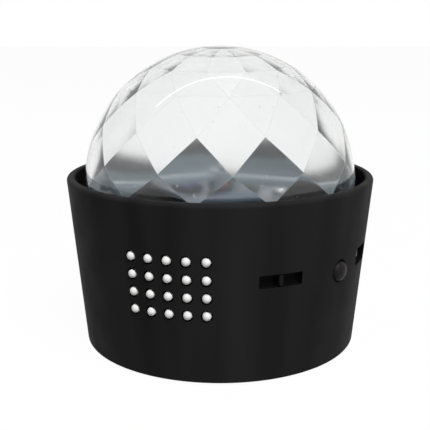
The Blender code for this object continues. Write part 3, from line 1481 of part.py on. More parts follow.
def motor_lead():
    """Two-core lead from the motor's flat side, forward to the underside of the main board."""
    height = BOARD_BOTTOM - MOTOR_LEAD_DROP
    start = at(motor_axis() - Vector((0.0, MOTOR_FLAT + SEAT, 0.0)), height)
    end = at(MOTOR_LEAD_FOOT, BOARD_BOTTOM - SEAT)
    low = at(end, height)
    back = Vector((0.0, MOTOR_LEAD_BEND, 0.0))
    rise = Vector((0.0, 0.0, MOTOR_LEAD_BEND))
    part("motor_lead", wire([start, start - back, low + back, low + rise, end], LEAD_RADIUS), RED_LEAD)


def led_lead():
    """Four-core lead straight down from the LED board, through the deck, to the main board."""
    place = lead_hole()
    route = [at(place, BOARD_TOP + SEAT), at(place, LED_BOARD_BOTTOM - SEAT)]
    part("led_lead", wire(route, LED_LEAD_RADIUS), RED_LEAD)


clear_scene()
PARTS = collection("rotating_dj_light")
CUTTERS = collection("cutters")

housing()
bottom_cover()
cover_screws()
foot_ring()
battery_door()
battery_cells()
battery_contacts()
main_board()
controller_chip()
microphone()
grille_pad()
slide_switch()
push_button()
usb_port()
gear_plate()
motor()
gear_train()
output_shaft()
bushes()
led_board()
leds()
dome()
dome_carrier()
battery_lead()
motor_lead()
led_lead()
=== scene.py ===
"""Looks of the rotating disco light: smooth shells, cut facets, finishes, studio light and camera.

Units are metres and +Z is up. The origin is on the table, under the dome's axis. The front, with the
switch and the button, faces -Y, and azimuths are counted in degrees from the front towards +X.
"""
import json
from math import asin, cos, degrees, pi, radians, sin, sqrt, tan

import bmesh
import bpy
from mathutils import Matrix, Vector

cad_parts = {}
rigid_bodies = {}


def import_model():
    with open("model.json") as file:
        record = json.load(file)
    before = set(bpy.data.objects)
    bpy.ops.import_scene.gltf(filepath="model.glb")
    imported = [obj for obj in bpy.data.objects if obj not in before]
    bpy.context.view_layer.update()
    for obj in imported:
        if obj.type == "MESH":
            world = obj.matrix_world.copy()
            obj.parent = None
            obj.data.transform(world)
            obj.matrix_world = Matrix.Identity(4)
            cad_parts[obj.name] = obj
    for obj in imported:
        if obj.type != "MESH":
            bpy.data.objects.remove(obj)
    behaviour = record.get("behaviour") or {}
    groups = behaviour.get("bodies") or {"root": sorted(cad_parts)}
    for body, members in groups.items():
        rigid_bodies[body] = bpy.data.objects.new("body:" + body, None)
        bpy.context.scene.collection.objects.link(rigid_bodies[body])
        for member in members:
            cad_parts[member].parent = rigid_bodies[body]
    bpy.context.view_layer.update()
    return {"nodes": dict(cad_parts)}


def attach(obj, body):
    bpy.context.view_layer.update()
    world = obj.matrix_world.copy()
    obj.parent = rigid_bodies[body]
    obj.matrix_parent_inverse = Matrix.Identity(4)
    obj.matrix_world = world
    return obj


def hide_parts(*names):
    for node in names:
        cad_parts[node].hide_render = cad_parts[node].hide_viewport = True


# Whole body
RIM_RADIUS = 0.043
BASE_RADIUS = 0.0387
RIM_HEIGHT = 0.0476
SIDE_WALL = 0.0024
RIM_WALL = 0.0024
DECK_TOP = 0.0412
DECK_BOTTOM = 0.0392
OPENINGS_FROM = 0.015
OPENINGS_TO = 0.038
FOOT_STAND = 0.0006
RIM_OUTER_ROUNDING = 0.0009
RIM_INNER_ROUNDING = 0.0005
BASE_ROUNDING = 0.0004
ROUNDING = 0.00025
SEAT = 0.0003
OVERRUN = 0.001
LIP = 0.00012

# Dome
DOME_RADIUS = 0.038
DOME_CENTRE = 0.0448
DOME_BOTTOM = 0.0437
DOME_INNER_RADIUS = 0.0362
FACETS_AROUND = 12
FACET_AZIMUTH = -10.1
FACET_RINGS = ((0.9, 0.0), (12.4, 0.5), (27.3, 0.0), (45.0, 0.5), (58.5, 0.0), (70.5, 0.0), (81.0, 0.5))
FACET_EDGE = 0.00022
FLAT_ANGLE = radians(0.5)
LEAST_FACET_AREA = 0.0000045
DOME_EDGE_TINT = (0.97, 0.965, 0.85)

# Dome carrier
CARRIER_RADIUS = 0.0377
CARRIER_BOTTOM = 0.0422
CARRIER_TOP = 0.0434
CARRIER_RING_WIDTH = 0.0067
SPIGOT_HEIGHT = 0.002
SPIGOT_WALL = 0.0012
SPOKES = 3
SPOKE_AZIMUTH = 60.0
SPOKE_WIDTH = 0.004
SPOKE_THICKNESS = 0.0016
SPOKE_BOTTOM = 0.0467
SPOKE_TOP = 0.0483
HUB_RADIUS = 0.0045
HUB_DEPTH = 0.004

# Shaft, bush and screws
SHAFT_RADIUS = 0.002
BUSH_RADIUS = 0.0033
BUSH_FLANGE_RADIUS = 0.0045
BUSH_FLANGE_THICKNESS = 0.0008
SCREW_HEAD_RADIUS = 0.0022
SCREW_HEAD_HEIGHT = 0.0011
SCREW_SHANK_RADIUS = 0.0009
SCREW_LENGTH = 0.006
SMALL_HEAD_RADIUS = 0.0015
SMALL_HEAD_HEIGHT = 0.001
SMALL_SHANK_RADIUS = 0.0007
SMALL_LENGTH = 0.0032
CROSS_ARM_SHARE = 0.62
CROSS_WIDTH_SHARE = 0.17
CROSS_DEPTH_SHARE = 0.6
THREAD_PITCH = 0.0006
THREAD_DEPTH = 0.00018

# LED board
LED_BOARD_RADIUS = 0.019
LED_BOARD_BOTTOM = 0.0423
LED_BOARD_TOP = 0.0435
LED_POST_RADIUS = 0.0024
LED_POST_HEIGHT = 0.0008
LED_SCREW_CIRCLE = 0.016
LED_SCREW_AZIMUTHS = (90.0, 270.0)
LED_CIRCLE = 0.0105
LED_BASE_RADIUS = 0.0035
LED_BASE_HEIGHT = 0.001
LED_LENS_RADIUS = 0.0026
LED_LENS_HEIGHT = 0.0014
LED_COLOURS = {"red": (0.3, 0.05, 0.045), "green": (0.045, 0.2, 0.07), "blue": (0.05, 0.09, 0.3)}

# Sound holes and their pad
GRILLE_AZIMUTH = -18.3
GRILLE_HEIGHT = 0.026
GRILLE_COLUMNS = 5
GRILLE_ROWS = 4
GRILLE_COLUMN_PITCH = 0.0049
GRILLE_ROW_PITCH = 0.0047
GRILLE_HOLE_RADIUS = 0.0015
PAD_THICKNESS = 0.002
PAD_MARGIN = 0.0028
PIP_RADIUS = 0.00115
PIP_STAND = 0.0007
PIP_EDGE_DROP = 0.0005

# Slide switch
SLOT_AZIMUTH = 21.4
SLOT_MIDDLE = 0.02765
SLOT_LENGTH = 0.0117
SLOT_HEIGHT = 0.0034
SLOT_RECESS = 0.0027
SLIDE_TRAVEL = 0.002
SLIDER_LAP = 0.0004
SLIDER_EDGE = 0.0009
SLIDER_THICKNESS = 0.0012
RIDGE_WIDTH = 0.0011
FORK_LENGTH = 0.0013
FORK_INNER = 0.001
FORK_OUTER = 0.002
FORK_HEIGHT = 0.0024

# Push button
BUTTON_AZIMUTH = 48.6
BUTTON_MIDDLE = 0.0266
BUTTON_RADIUS = 0.0026
BUTTON_STAND = 0.0013
BUTTON_CROWN = 0.0013
BUTTON_FLANGE_RADIUS = 0.0039
BUTTON_FLANGE_THICKNESS = 0.001

# Socket
USB_AZIMUTH = 67.5
USB_MIDDLE = 0.0281
USB_OPENING_WIDTH = 0.0092
USB_OPENING_HEIGHT = 0.0049
USB_OPENING_ROUNDING = 0.0009
USB_SHELL_WIDTH = 0.0077
USB_SHELL_HEIGHT = 0.0039
USB_SHELL_LENGTH = 0.009
USB_SHELL_WALL = 0.0004
USB_SHELL_REACH = 0.0014
USB_SHELL_ROUNDING = 0.0008
USB_CAVITY_DEPTH = 0.006
USB_TONGUE_WIDTH = 0.0045
USB_TONGUE_THICKNESS = 0.001
USB_TONGUE_SETBACK = 0.0008
USB_CONTACTS = 5
USB_CONTACT_WIDTH = 0.0004
USB_CONTACT_THICKNESS = 0.00015
BOARD_FRONT = 0.035
BOARD_TOP = 0.025

# Bottom cover, door, ring and cells
COVER_RADIUS = 0.036
COVER_TOP = 0.0026
BOX_HALF_LENGTH = 0.0245
BOX_HALF_WIDTH = 0.01665
BOX_WALL = 0.0012
BOX_CEILING = 0.0138
BOX_TOP = 0.015
NOTCH_DIP = 0.0002
NOTCH_HEIGHT = 0.00355
NOTCH_GAP = 0.0006
DOOR_THICKNESS = 0.0016
TONGUE_WIDTH = 0.003
TONGUE_REACH = 0.0012
TONGUE_ROOT = 0.0012
TONGUE_THICKNESS = 0.001
DISH_RADIUS = 0.0045
DISH_DEPTH = 0.0008
DISH_INSET = 0.002
FOOT_RING_OUTER = 0.0352
FOOT_RING_INNER = 0.0326
FOOT_RING_THICKNESS = 0.0012
COVER_SCREW_CIRCLE = 0.0295
COVER_SCREW_AZIMUTHS = (0.0, 90.0, 180.0, 270.0)
COVER_SCREW_SUNK = 0.0001
COVER_SCREW_WEB = 0.0006
CELL_RADIUS = 0.00525
CELL_LENGTH = 0.0445
CELL_HEIGHT = 0.00815
CELL_PITCH = 0.0111
CELL_NUB_RADIUS = 0.0019
CELL_NUB_HEIGHT = 0.001
CELLS = 3
CONTACT_THICKNESS = 0.0004
CONTACT_WIDTH = 0.008
CONTACT_HEIGHT = 0.0066
SPRING_LENGTH = 0.0022
SPRING_WIRE_RADIUS = 0.0003
SPRING_LARGE_RADIUS = 0.0031
SPRING_SMALL_RADIUS = 0.0019
SPRING_TURNS = 3

# Camera, stage and light
CAMERA_PLACE = (0.0, -0.22399, 0.08855)
CAMERA_PITCH = 13.51
CAMERA_LENS = 66.9
CAMERA_SHIFT = (-0.0118, 0.0015)
FLOOR_HALF_SIZE = 3.0
FLOOR_GLOW_SHARE = 0.97
FLOOR_GREY = (0.3, 0.3, 0.3)
FLOOR_WHITE = (0.85, 0.85, 0.85)
AMBIENT = 0.16

# Lamps, each with its place, its width and height, and its power
KEY_LAMP = ((0.26, -0.64, 0.88), (0.5, 0.5), 14.0)
FILL_LAMPS = {"left": ((-0.8, 0.4, 0.18), (0.6, 0.9), 2.2), "right": ((0.8, 0.4, 0.18), (0.6, 0.9), 0.9)}
STRIP_LAMP = ((-0.036, 0.212, 1.0), (1.6, 0.022), 0.7)

# Smoothness of round pieces, in steps
ROUND_LARGE = 256
ROUND_MEDIUM = 96
ROUND_SMALL = 48
CORNER_STEPS = 4
BLOCK_EDGE_STEPS = 3
PILLAR_EDGE_STEPS = 5
FACET_EDGE_STEPS = 2
WIRE_STEPS = 3
ROUND_BEVEL = 0.5

# Limits for meshes: a length, a share, angles in degrees, and cosines of the angle to a direction
ON_AXIS = 1e-7
CORNER_REACH_SHARE = 0.49
SHARP_ANGLE = 35.0
DOME_SHARP_ANGLE = 8.0
FACING_ASIDE = 0.5
ALONG_CONE = cos(radians(3.0))
ALONG_SPHERE = 0.99

# Units of the finishes' sizes and depths
MILLIMETRE = 1e-3
MICROMETRE = 1e-6

# Sockets of the node that mixes two colours
MIX_FIRST = 6
MIX_SECOND = 7
MIX_RESULT = 2


def both(half):
    """Limits at both sides of zero."""
    return -half, half


def outer_radius(height):
    """Radius of the housing's outside at a height above the table."""
    rise = (height - FOOT_STAND) / (RIM_HEIGHT - FOOT_STAND)
    return BASE_RADIUS + (RIM_RADIUS - BASE_RADIUS) * rise


def inner_radius(height):
    """Radius of the housing's inside below the deck."""
    return outer_radius(height) - SIDE_WALL


def around(radius, azimuth, height=0.0):
    """Place at a radius and an azimuth."""
    angle = radians(azimuth)
    return Vector((radius * sin(angle), -radius * cos(angle), height))


def stands(radius, azimuths, height=0.0):
    """Matrices that move a mesh out to a circle, one for each azimuth, without turning it."""
    return [Matrix.Translation(around(radius, azimuth, height)) for azimuth in azimuths]


def facing(azimuth, radius, height):
    """Matrix that turns a mesh's -Y to the wall at an azimuth and moves it out there."""
    turn = Matrix.Rotation(radians(azimuth), 4, "Z")
    return Matrix.Translation(around(radius, azimuth, height)) @ turn


def outward(azimuth, radius, height):
    """Matrix that lays a mesh about Z along the wall's outward direction at an azimuth."""
    return facing(azimuth, radius, height) @ Matrix.Rotation(radians(90.0), 4, "X")


# Meshes

def in_scene(name, data):
    """New object of some data, linked to the scene."""
    made = bpy.data.objects.new(name, data)
    bpy.context.scene.collection.objects.link(made)
    return made


def mesh_of(shape):
    """Mesh of a bmesh, with its faces turned outwards."""
    bmesh.ops.recalc_face_normals(shape, faces=shape.faces)
    mesh = bpy.data.meshes.new("mesh")
    shape.to_mesh(mesh)
    shape.free()
    return mesh


def worked_into_mesh(source, *helpers):
    """Mesh of an object, with its modifiers or its curve worked out; it and its helpers are removed."""
    graph = bpy.context.evaluated_depsgraph_get()
    mesh = bpy.data.meshes.new_from_object(source.evaluated_get(graph))
    for used in (source, *helpers):
        bpy.data.objects.remove(used, do_unlink=True)
    return mesh


def rounded_profile(points):
    """Profile of (radius, height) and (radius, height, rounding) points, the latter drawn as arcs."""
    drawn = []
    for i, (radius, height, *rounding) in enumerate(points):
        here = Vector((radius, height))
        if not any(rounding):
            drawn.append(here)
            continue
        before = Vector(points[i - 1][:2]) - here
        after = Vector(points[(i + 1) % len(points)][:2]) - here
        half_angle = before.angle(after) / 2
        longest = min(before.length, after.length) * CORNER_REACH_SHARE
        reach = min(rounding[0] / tan(half_angle), longest)
        arc_radius = reach * tan(half_angle)
        back = before.normalized()
        ahead = after.normalized()
        centre = here + (back + ahead).normalized() * (arc_radius / sin(half_angle))
        start = here + back * reach - centre
        end = here + ahead * reach - centre
        for step in range(CORNER_STEPS + 1):
            direction = start.lerp(end, step / CORNER_STEPS).normalized()
            drawn.append(centre + direction * arc_radius)
    return drawn


def skin(shape, rings):
    """Adds the faces between each ring of corners and the next; a ring of one corner is a tip."""
    count = max(len(ring) for ring in rings)
    for ring, other in zip(rings, rings[1:]):
        for i in range(count):
            j = (i + 1) % count
            corners = [ring[i % len(ring)], ring[j % len(ring)], other[j % len(other)], other[i % len(other)]]
            corners = list(dict.fromkeys(corners))
            if len(corners) > 2:
                shape.faces.new(corners)


def turned(points, segments=ROUND_MEDIUM, closed=False, capped=True):
    """Mesh of a profile turned about Z; an open one gets flat ends where it stops off the axis, if capped."""
    if capped and not closed:
        caps = [[(0.0, height)] if radius > ON_AXIS else [] for radius, height, *_ in (points[0], points[-1])]
        points = caps[0] + points + caps[1]
    shape = bmesh.new()
    rings = []
    for radius, height in rounded_profile(points):
        if radius < ON_AXIS:
            rings.append([shape.verts.new((0.0, 0.0, height))])
            continue
        angles = [2 * pi * i / segments for i in range(segments)]
        rings.append([shape.verts.new((radius * cos(angle), radius * sin(angle), height))
                      for angle in angles])
    skin(shape, rings + rings[:1] if closed else rings)
    return mesh_of(shape)


def arc(radius, rise, centre, end, steps):
    """Profile points of an arc from its top on the axis down to an angle over its centre's height."""
    points = [(0.0, centre + rise)]
    for i in range(1, steps + 1):
        angle = pi / 2 + (end - pi / 2) * i / steps
        points.append((radius * cos(angle), centre + rise * sin(angle)))
    return points


def crown(radius, top, drop, steps):
    """Profile points of a crowned end, from its top on the axis down to its edge."""
    shares = [i / steps for i in range(steps + 1)]
    return [(radius * share, top - drop * (1 - sqrt(1 - share ** 2))) for share in shares]


def rod(radius, low, high, rounding=0.0, segments=ROUND_SMALL):
    """Solid cylinder about Z."""
    return turned([(radius, high, rounding), (radius, low, rounding)], segments)


def tube(outer, inner, low, high, rounding=0.0, segments=ROUND_MEDIUM):
    """Cylinder about Z with a bore."""
    corners = [(outer, high), (outer, low), (inner, low), (inner, high)]
    return turned([(*corner, rounding) for corner in corners], segments, closed=True)


def cuboid(*spans):
    """Bmesh of a box between pairs of limits along X, Y and Z."""
    low, high = [Vector(limits) for limits in zip(*spans)]
    shape = bmesh.new()
    bmesh.ops.create_cube(shape, size=1.0)
    bmesh.ops.scale(shape, vec=high - low, verts=shape.verts)
    bmesh.ops.translate(shape, vec=(low + high) / 2, verts=shape.verts)
    return shape


def rounded(shape, edges, offset, steps):
    """Mesh of a bmesh after some of its edges are rounded."""
    bmesh.ops.bevel(shape, geom=edges, offset=offset, segments=steps, profile=ROUND_BEVEL, affect="EDGES")
    return mesh_of(shape)


def block(x_span, y_span, z_span, rounding=0.0):
    """Box with all its edges rounded alike, or sharp."""
    shape = cuboid(x_span, y_span, z_span)
    if rounding == 0.0:
        return mesh_of(shape)
    return rounded(shape, shape.edges[:], rounding, BLOCK_EDGE_STEPS)


def pillar(x_span, y_span, z_span, rounding):
    """Box with its four edges along Y rounded."""
    shape = cuboid(x_span, y_span, z_span)
    edges = [edge for edge in shape.edges if edge.verts[0].co.y != edge.verts[1].co.y]
    return rounded(shape, edges, rounding, PILLAR_EDGE_STEPS)


def moved(mesh, matrix):
    """The mesh itself, moved by a matrix."""
    mesh.transform(matrix)
    return mesh


def joined(*meshes):
    """One mesh of several, which are used up."""
    shape = bmesh.new()
    for mesh in meshes:
        shape.from_mesh(mesh)
        bpy.data.meshes.remove(mesh)
    made = bpy.data.meshes.new("joined")
    shape.to_mesh(made)
    shape.free()
    return made


def copies(mesh, places):
    """One mesh of a mesh's copies, one for each matrix."""
    return joined(*[moved(mesh.copy(), place) for place in places])


def carved(mesh, *cuts, operation="DIFFERENCE"):
    """Mesh with other meshes taken out of it, or added to it, one after the other."""
    body = in_scene("body", mesh)
    helpers = [in_scene("cut", cut) for cut in cuts]
    for helper in helpers:
        modifier = body.modifiers.new("cut", "BOOLEAN")
        modifier.operation = operation
        modifier.solver = "EXACT"
        modifier.object = helper
    return worked_into_mesh(body, *helpers)


def true_normals(made, true_normal, on_surface, along):
    """Gives the faces that lie along a true surface, and are near it, that surface's own normals."""
    mesh = made.data
    normals = [Vector(corner.vector) for corner in mesh.corner_normals]
    for face in mesh.polygons:
        if not on_surface(face.center) or face.normal.dot(true_normal(face.center)) < along:
            continue
        for corner in face.loop_indices:
            normals[corner] = true_normal(mesh.vertices[mesh.loops[corner].vertex_index].co)
    mesh.normals_split_custom_set(normals)


def piece(name, mesh, look, node, body="root", sharp_angle=SHARP_ANGLE):
    """Shown piece that rides on a CAD body and stands for a CAD node."""
    mesh.materials.append(look.material)
    mesh.shade_smooth()
    mesh.set_sharp_from_angle(angle=radians(sharp_angle))
    made = in_scene(name, mesh)
    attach(made, body)
    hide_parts(node)
    return made


# Shader nodes

def plugged(tree, node, *sources, **named_sources):
    """The node, its sockets given values or other nodes' outputs by their order or their names."""
    named = [(node.inputs[name.replace("_", " ")], source) for name, source in named_sources.items()]
    for socket, source in [*zip(node.inputs, sources), *named]:
        if isinstance(source, bpy.types.NodeSocket):
            tree.links.new(source, socket)
        else:
            socket.default_value = source
    return node


def added(tree, kind, *sources, **named_sources):
    """New node of a kind, plugged."""
    return plugged(tree, tree.nodes.new("ShaderNode" + kind), *sources, **named_sources)


def worked_out(tree, operation, first, second):
    """Output of a sum on two numbers."""
    node = added(tree, "Math", first, second)
    node.operation = operation
    return node.outputs[0]


def colour_mix(tree, first, second, share):
    """Output that goes from one colour to another as the share goes from 0 to 1."""
    mix = added(tree, "Mix", share)
    mix.data_type = "RGBA"
    mix.inputs[MIX_FIRST].default_value = (*first, 1.0)
    mix.inputs[MIX_SECOND].default_value = (*second, 1.0)
    return mix.outputs[MIX_RESULT]


# Finishes

class Finish:
    """Node material: plain values go on the shader's sockets, and noise adds grain, mottling and wear.

    Sizes are in millimetres, and depths in thousandths of one.
    """

    def __init__(self, name, colour, roughness, specular=0.5, **sockets):
        self.material = bpy.data.materials.new(name)
        self.material.use_nodes = True
        self.material.diffuse_color = (*colour, 1.0)
        self.tree = self.material.node_tree
        self.colour = colour
        self.roughness = roughness
        self.place = added(self.tree, "TexCoord").outputs["Object"]
        self.put(Base_Color=(*colour, 1.0), Roughness=roughness, Specular_IOR_Level=specular, **sockets)

    def put(self, **sockets):
        """Puts values or outputs on the shader's sockets."""
        plugged(self.tree, self.tree.nodes["Principled BSDF"], **sockets)
        return self

    def noise(self, size, detail=4.0, upright=1.0):
        """Noise whose lumps are about a size across, and drawn out along Z where upright is below one."""
        mapping = added(self.tree, "Mapping", Vector=self.place, Scale=(1.0, 1.0, upright))
        scale = 1.0 / (size * MILLIMETRE)
        noise = added(self.tree, "TexNoise", Vector=mapping.outputs[0], Scale=scale, Detail=detail)
        return noise.outputs["Fac"]

    def spread(self, value, low, high, start=0.35, end=0.65):
        """Value mapped from start..end to low..high."""
        return added(self.tree, "MapRange", value, start, end, low, high).outputs["Result"]

    def mottle(self, other, size, **noise):
        """Slow change of colour between the finish's own and another."""
        share = self.spread(self.noise(size, **noise), 0.0, 1.0)
        return self.put(Base_Color=colour_mix(self.tree, self.colour, other, share))

    def smudge(self, amount, size, **noise):
        """Slow change of roughness to either side of the finish's own."""
        low = max(0.0, self.roughness - amount)
        return self.put(Roughness=self.spread(self.noise(size, **noise), low, self.roughness + amount))

    def grain(self, size, depth, **noise):
        """Fine relief of a depth."""
        bump = added(self.tree, "Bump", Distance=depth * MICROMETRE, Height=self.noise(size, **noise))
        return self.put(Normal=bump.outputs["Normal"])

    def specks(self, clear_share, mark_share, size):
        """Few small marks that let less light through."""
        marks = self.spread(self.noise(size, detail=1.0), clear_share, mark_share, start=0.74, end=0.78)
        return self.put(Transmission_Weight=marks)

    def edged(self, tint):
        """Another tint where the surface is seen edge on."""
        edge_on = added(self.tree, "LayerWeight").outputs["Facing"]
        share = self.spread(edge_on, 0.0, 1.0, start=0.8, end=0.97)
        return self.put(Base_Color=colour_mix(self.tree, self.colour, tint, share))


def black_plastic():
    """Moulded black of the housing, hardly glossy, with faint lighter upright streaks."""
    made = Finish("black_plastic", (0.0126, 0.0123, 0.0124), 0.58, specular=0.018)
    made.mottle((0.0186, 0.0182, 0.0184), 10.0, detail=1.0, upright=0.05)
    return made.smudge(0.05, 8.0).grain(0.35, 10.0, detail=3.0)


def cover_plastic():
    """Glossier black of the underside."""
    made = Finish("cover_plastic", (0.015, 0.0148, 0.015), 0.42, specular=0.3)
    return made.mottle((0.02, 0.0198, 0.02), 6.0).smudge(0.06, 5.0).grain(0.4, 12.0, detail=3.0)


def painted_shade_black():
    """Painted shade: a darker black on the walls of the well round the dome and of the openings, where shade
    falls.
    """
    made = Finish("painted_shade_black", (0.005, 0.0048, 0.0049), 0.55, specular=0.01)
    return made.smudge(0.05, 8.0).grain(0.35, 10.0, detail=3.0)


def slider_plastic():
    made = Finish("slider_plastic", (0.0085, 0.008, 0.0082), 0.5, specular=0.04)
    return made.smudge(0.06, 3.0).grain(0.25, 8.0)


def button_plastic():
    made = Finish("button_plastic", (0.01, 0.009, 0.0095), 0.46, specular=0.09)
    return made.smudge(0.05, 2.5).grain(0.6, 6.0)


def clear_plastic(name, roughness, clear_share, colour=(0.993, 1.0, 0.997)):
    """Clear moulding, a little wavy, that lets a share of the light through."""
    made = Finish(name, colour, roughness, IOR=1.47, Transmission_Weight=clear_share)
    return made.smudge(0.012, 14.0).grain(18.0, 40.0, detail=1.0)


def white_foam():
    made = Finish("white_foam", (0.8, 0.8, 0.79), 0.6, specular=0.3)
    return made.mottle((0.74, 0.74, 0.74), 2.0).grain(0.2, 20.0)


def rubber():
    made = Finish("rubber", (0.016, 0.016, 0.016), 0.78, specular=0.3)
    return made.mottle((0.026, 0.026, 0.026), 6.0).grain(0.3, 30.0)


def nylon():
    made = Finish("nylon", (0.74, 0.73, 0.68), 0.48, Subsurface_Weight=0.1, Subsurface_Scale=1.0,
                  Subsurface_Radius=(0.001, 0.0008, 0.0006))
    return made.mottle((0.68, 0.67, 0.62), 5.0).grain(0.5, 10.0)


def zinc_steel(name, roughness):
    made = Finish(name, (0.56, 0.56, 0.57), roughness, Metallic=1.0)
    return made.mottle((0.48, 0.49, 0.51), 3.0).smudge(0.08, 1.5).grain(0.15, 6.0)


def brushed_steel():
    """Drawn steel, its roughness and relief in long upright streaks."""
    made = Finish("brushed_steel", (0.6, 0.6, 0.61), 0.28, Metallic=1.0)
    return made.smudge(0.1, 0.6, upright=0.05).grain(0.12, 5.0, upright=0.04)


def tinned_steel():
    made = Finish("tinned_steel", (0.4, 0.4, 0.41), 0.45, Metallic=0.5)
    return made.mottle((0.35, 0.35, 0.36), 1.2).grain(0.12, 6.0)


def bronze():
    made = Finish("bronze", (0.52, 0.33, 0.15), 0.42, Metallic=1.0)
    return made.mottle((0.42, 0.26, 0.12), 1.0).grain(0.12, 15.0)


def solder_mask(name, colour, other):
    """Lacquer of a board, or a like smooth moulding."""
    made = Finish(name, colour, 0.34, specular=0.45)
    return made.mottle(other, 4.0).grain(1.1, 12.0, detail=1.0)


def resin():
    made = Finish("resin", (0.018, 0.018, 0.019), 0.5)
    return made.mottle((0.026, 0.026, 0.027), 2.0).grain(0.12, 10.0)


def lens(name, colour):
    made = Finish(name, colour, 0.06, IOR=1.5, Transmission_Weight=0.55)
    return made.smudge(0.03, 1.0).grain(1.5, 10.0)


def cell_wrap():
    """Plain film under a clear coat."""
    made = Finish("cell_wrap", (0.03, 0.05, 0.11), 0.3, Coat_Weight=0.5, Coat_Roughness=0.1)
    return made.mottle((0.036, 0.058, 0.125), 8.0).grain(3.0, 20.0, detail=1.0)


def insulation():
    made = Finish("insulation", (0.42, 0.02, 0.016), 0.42)
    return made.mottle((0.34, 0.014, 0.012), 3.0).grain(0.4, 10.0)


# CAD solids, in an empty scene
for leftover in list(bpy.data.objects):
    bpy.data.objects.remove(leftover, do_unlink=True)
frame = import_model()

# Finishes that several pieces share
COVER_BLACK = cover_plastic()
RUBBER = rubber()
ZINC = zinc_steel("zinc_steel", 0.3)
PLATED = zinc_steel("plated_contact", 0.22)
BRONZE = bronze()
RESIN = resin()


# Housing

def grille_places():
    """Matrices of the sound holes, column by column."""
    step = degrees(GRILLE_COLUMN_PITCH / outer_radius(GRILLE_HEIGHT))
    places = []
    for column in range(GRILLE_COLUMNS):
        for row in range(GRILLE_ROWS):
            azimuth = GRILLE_AZIMUTH + step * (column - (GRILLE_COLUMNS - 1) / 2)
            height = GRILLE_HEIGHT + GRILLE_ROW_PITCH * (row - (GRILLE_ROWS - 1) / 2)
            places.append(outward(azimuth, outer_radius(height), height))
    return places


def lipped_drill(radius):
    """Cutter about Z that opens out a little at zero, where the wall's outside is."""
    return turned([
        (radius + OVERRUN, OVERRUN),
        (radius + LIP, 0.0),
        (radius, -LIP),
        (radius, -SIDE_WALL - OVERRUN),
    ], ROUND_SMALL)


def slider_face():
    """Distance from the dome's axis to the front of the slider's plate."""
    return outer_radius(SLOT_MIDDLE) - SLOT_RECESS


def slider_half_sizes():
    """Half the length and half the height of the slider's plate."""
    return SLOT_LENGTH / 2 + SLIDE_TRAVEL + SLIDER_LAP, SLOT_HEIGHT / 2 + SLIDER_EDGE


def slot_cutters():
    """Slot for the ridge, and behind it the pocket in which the slider's plate runs."""
    outer = outer_radius(SLOT_MIDDLE) + OVERRUN
    inner = slider_face() - SLIDER_THICKNESS - OVERRUN
    half_length, half_height = slider_half_sizes()
    place = facing(SLOT_AZIMUTH, 0.0, SLOT_MIDDLE)
    slot = pillar(both(SLOT_LENGTH / 2), (-outer, -inner), both(SLOT_HEIGHT / 2), ROUNDING)
    pocket = block(both(half_length + SLIDE_TRAVEL + SEAT), (-slider_face() - SEAT, -inner),
                   both(half_height + SEAT))
    return moved(slot, place), moved(pocket, place)


def usb_wall():
    """Distance from the dome's axis to the flat plane just inside the wall, behind the socket's opening."""
    reach = inner_radius(USB_MIDDLE - USB_OPENING_HEIGHT / 2)
    return sqrt(reach ** 2 - (USB_OPENING_WIDTH / 2) ** 2) - SEAT


def usb_cutter():
    opening = pillar(both(USB_OPENING_WIDTH / 2), (-outer_radius(USB_MIDDLE) - OVERRUN, -usb_wall()),
                     both(USB_OPENING_HEIGHT / 2), USB_OPENING_ROUNDING)
    return moved(opening, facing(USB_AZIMUTH, 0.0, USB_MIDDLE))


def cone_normal(place):
    """Normal of the housing's true cone at a place."""
    slope = (RIM_RADIUS - BASE_RADIUS) / (RIM_HEIGHT - FOOT_STAND)
    return Vector((place.x, place.y, -slope * place.xy.length)).normalized()


def is_in_well_or_opening(face):
    """Whether a face of the housing is a wall of the well round the dome or of an opening, which gets the
    painted shade.
    """
    spoke = face.center.xy
    outward_share = spoke.normalized().dot(face.normal.xy)
    well = face.center.z > DECK_TOP and outward_share < 0.0 and spoke.length > DOME_RADIUS
    opening = OPENINGS_FROM < face.center.z < OPENINGS_TO and abs(outward_share) < FACING_ASIDE
    return well or opening


def housing():
    """Tapered shell with its rim, sunk deck, posts and openings."""
    rim_inner = RIM_RADIUS - RIM_WALL
    hole = BUSH_RADIUS + SEAT
    shell = turned([
        (RIM_RADIUS, RIM_HEIGHT, RIM_OUTER_ROUNDING),
        (BASE_RADIUS, FOOT_STAND, BASE_ROUNDING),
        (BASE_RADIUS - SIDE_WALL, FOOT_STAND, ROUNDING),
        (inner_radius(DECK_BOTTOM), DECK_BOTTOM, ROUNDING),
        (hole, DECK_BOTTOM),
        (hole, DECK_TOP, ROUNDING),
        (rim_inner, DECK_TOP, RIM_INNER_ROUNDING),
        (rim_inner, RIM_HEIGHT, RIM_INNER_ROUNDING),
    ], ROUND_LARGE, closed=True)
    holes = copies(lipped_drill(GRILLE_HOLE_RADIUS), grille_places())
    button_place = outward(BUTTON_AZIMUTH, outer_radius(BUTTON_MIDDLE), BUTTON_MIDDLE)
    button_hole = moved(lipped_drill(BUTTON_RADIUS + SEAT), button_place)
    shell = carved(shell, holes, button_hole, *slot_cutters(), usb_cutter())
    post = rod(LED_POST_RADIUS, DECK_TOP - OVERRUN, DECK_TOP + LED_POST_HEIGHT, ROUNDING)
    shell = joined(shell, copies(post, stands(LED_SCREW_CIRCLE, LED_SCREW_AZIMUTHS)))
    made = piece("housing", shell, black_plastic(), "outer_housing")
    # Painted shade: the walls of the well round the dome and of the openings get a darker black.
    made.data.materials.append(painted_shade_black().material)
    for face in made.data.polygons:
        face.material_index = 1 if is_in_well_or_opening(face) else 0
    true_normals(made, cone_normal, lambda place: place.xy.length >= BASE_RADIUS - SIDE_WALL / 2, ALONG_CONE)


# Dome and what turns with it

def between(height, low, high):
    """Radius at a height on the straight line through two points, each a radius and a height."""
    return low[0] + (high[0] - low[0]) * (height - low[1]) / (high[1] - low[1])


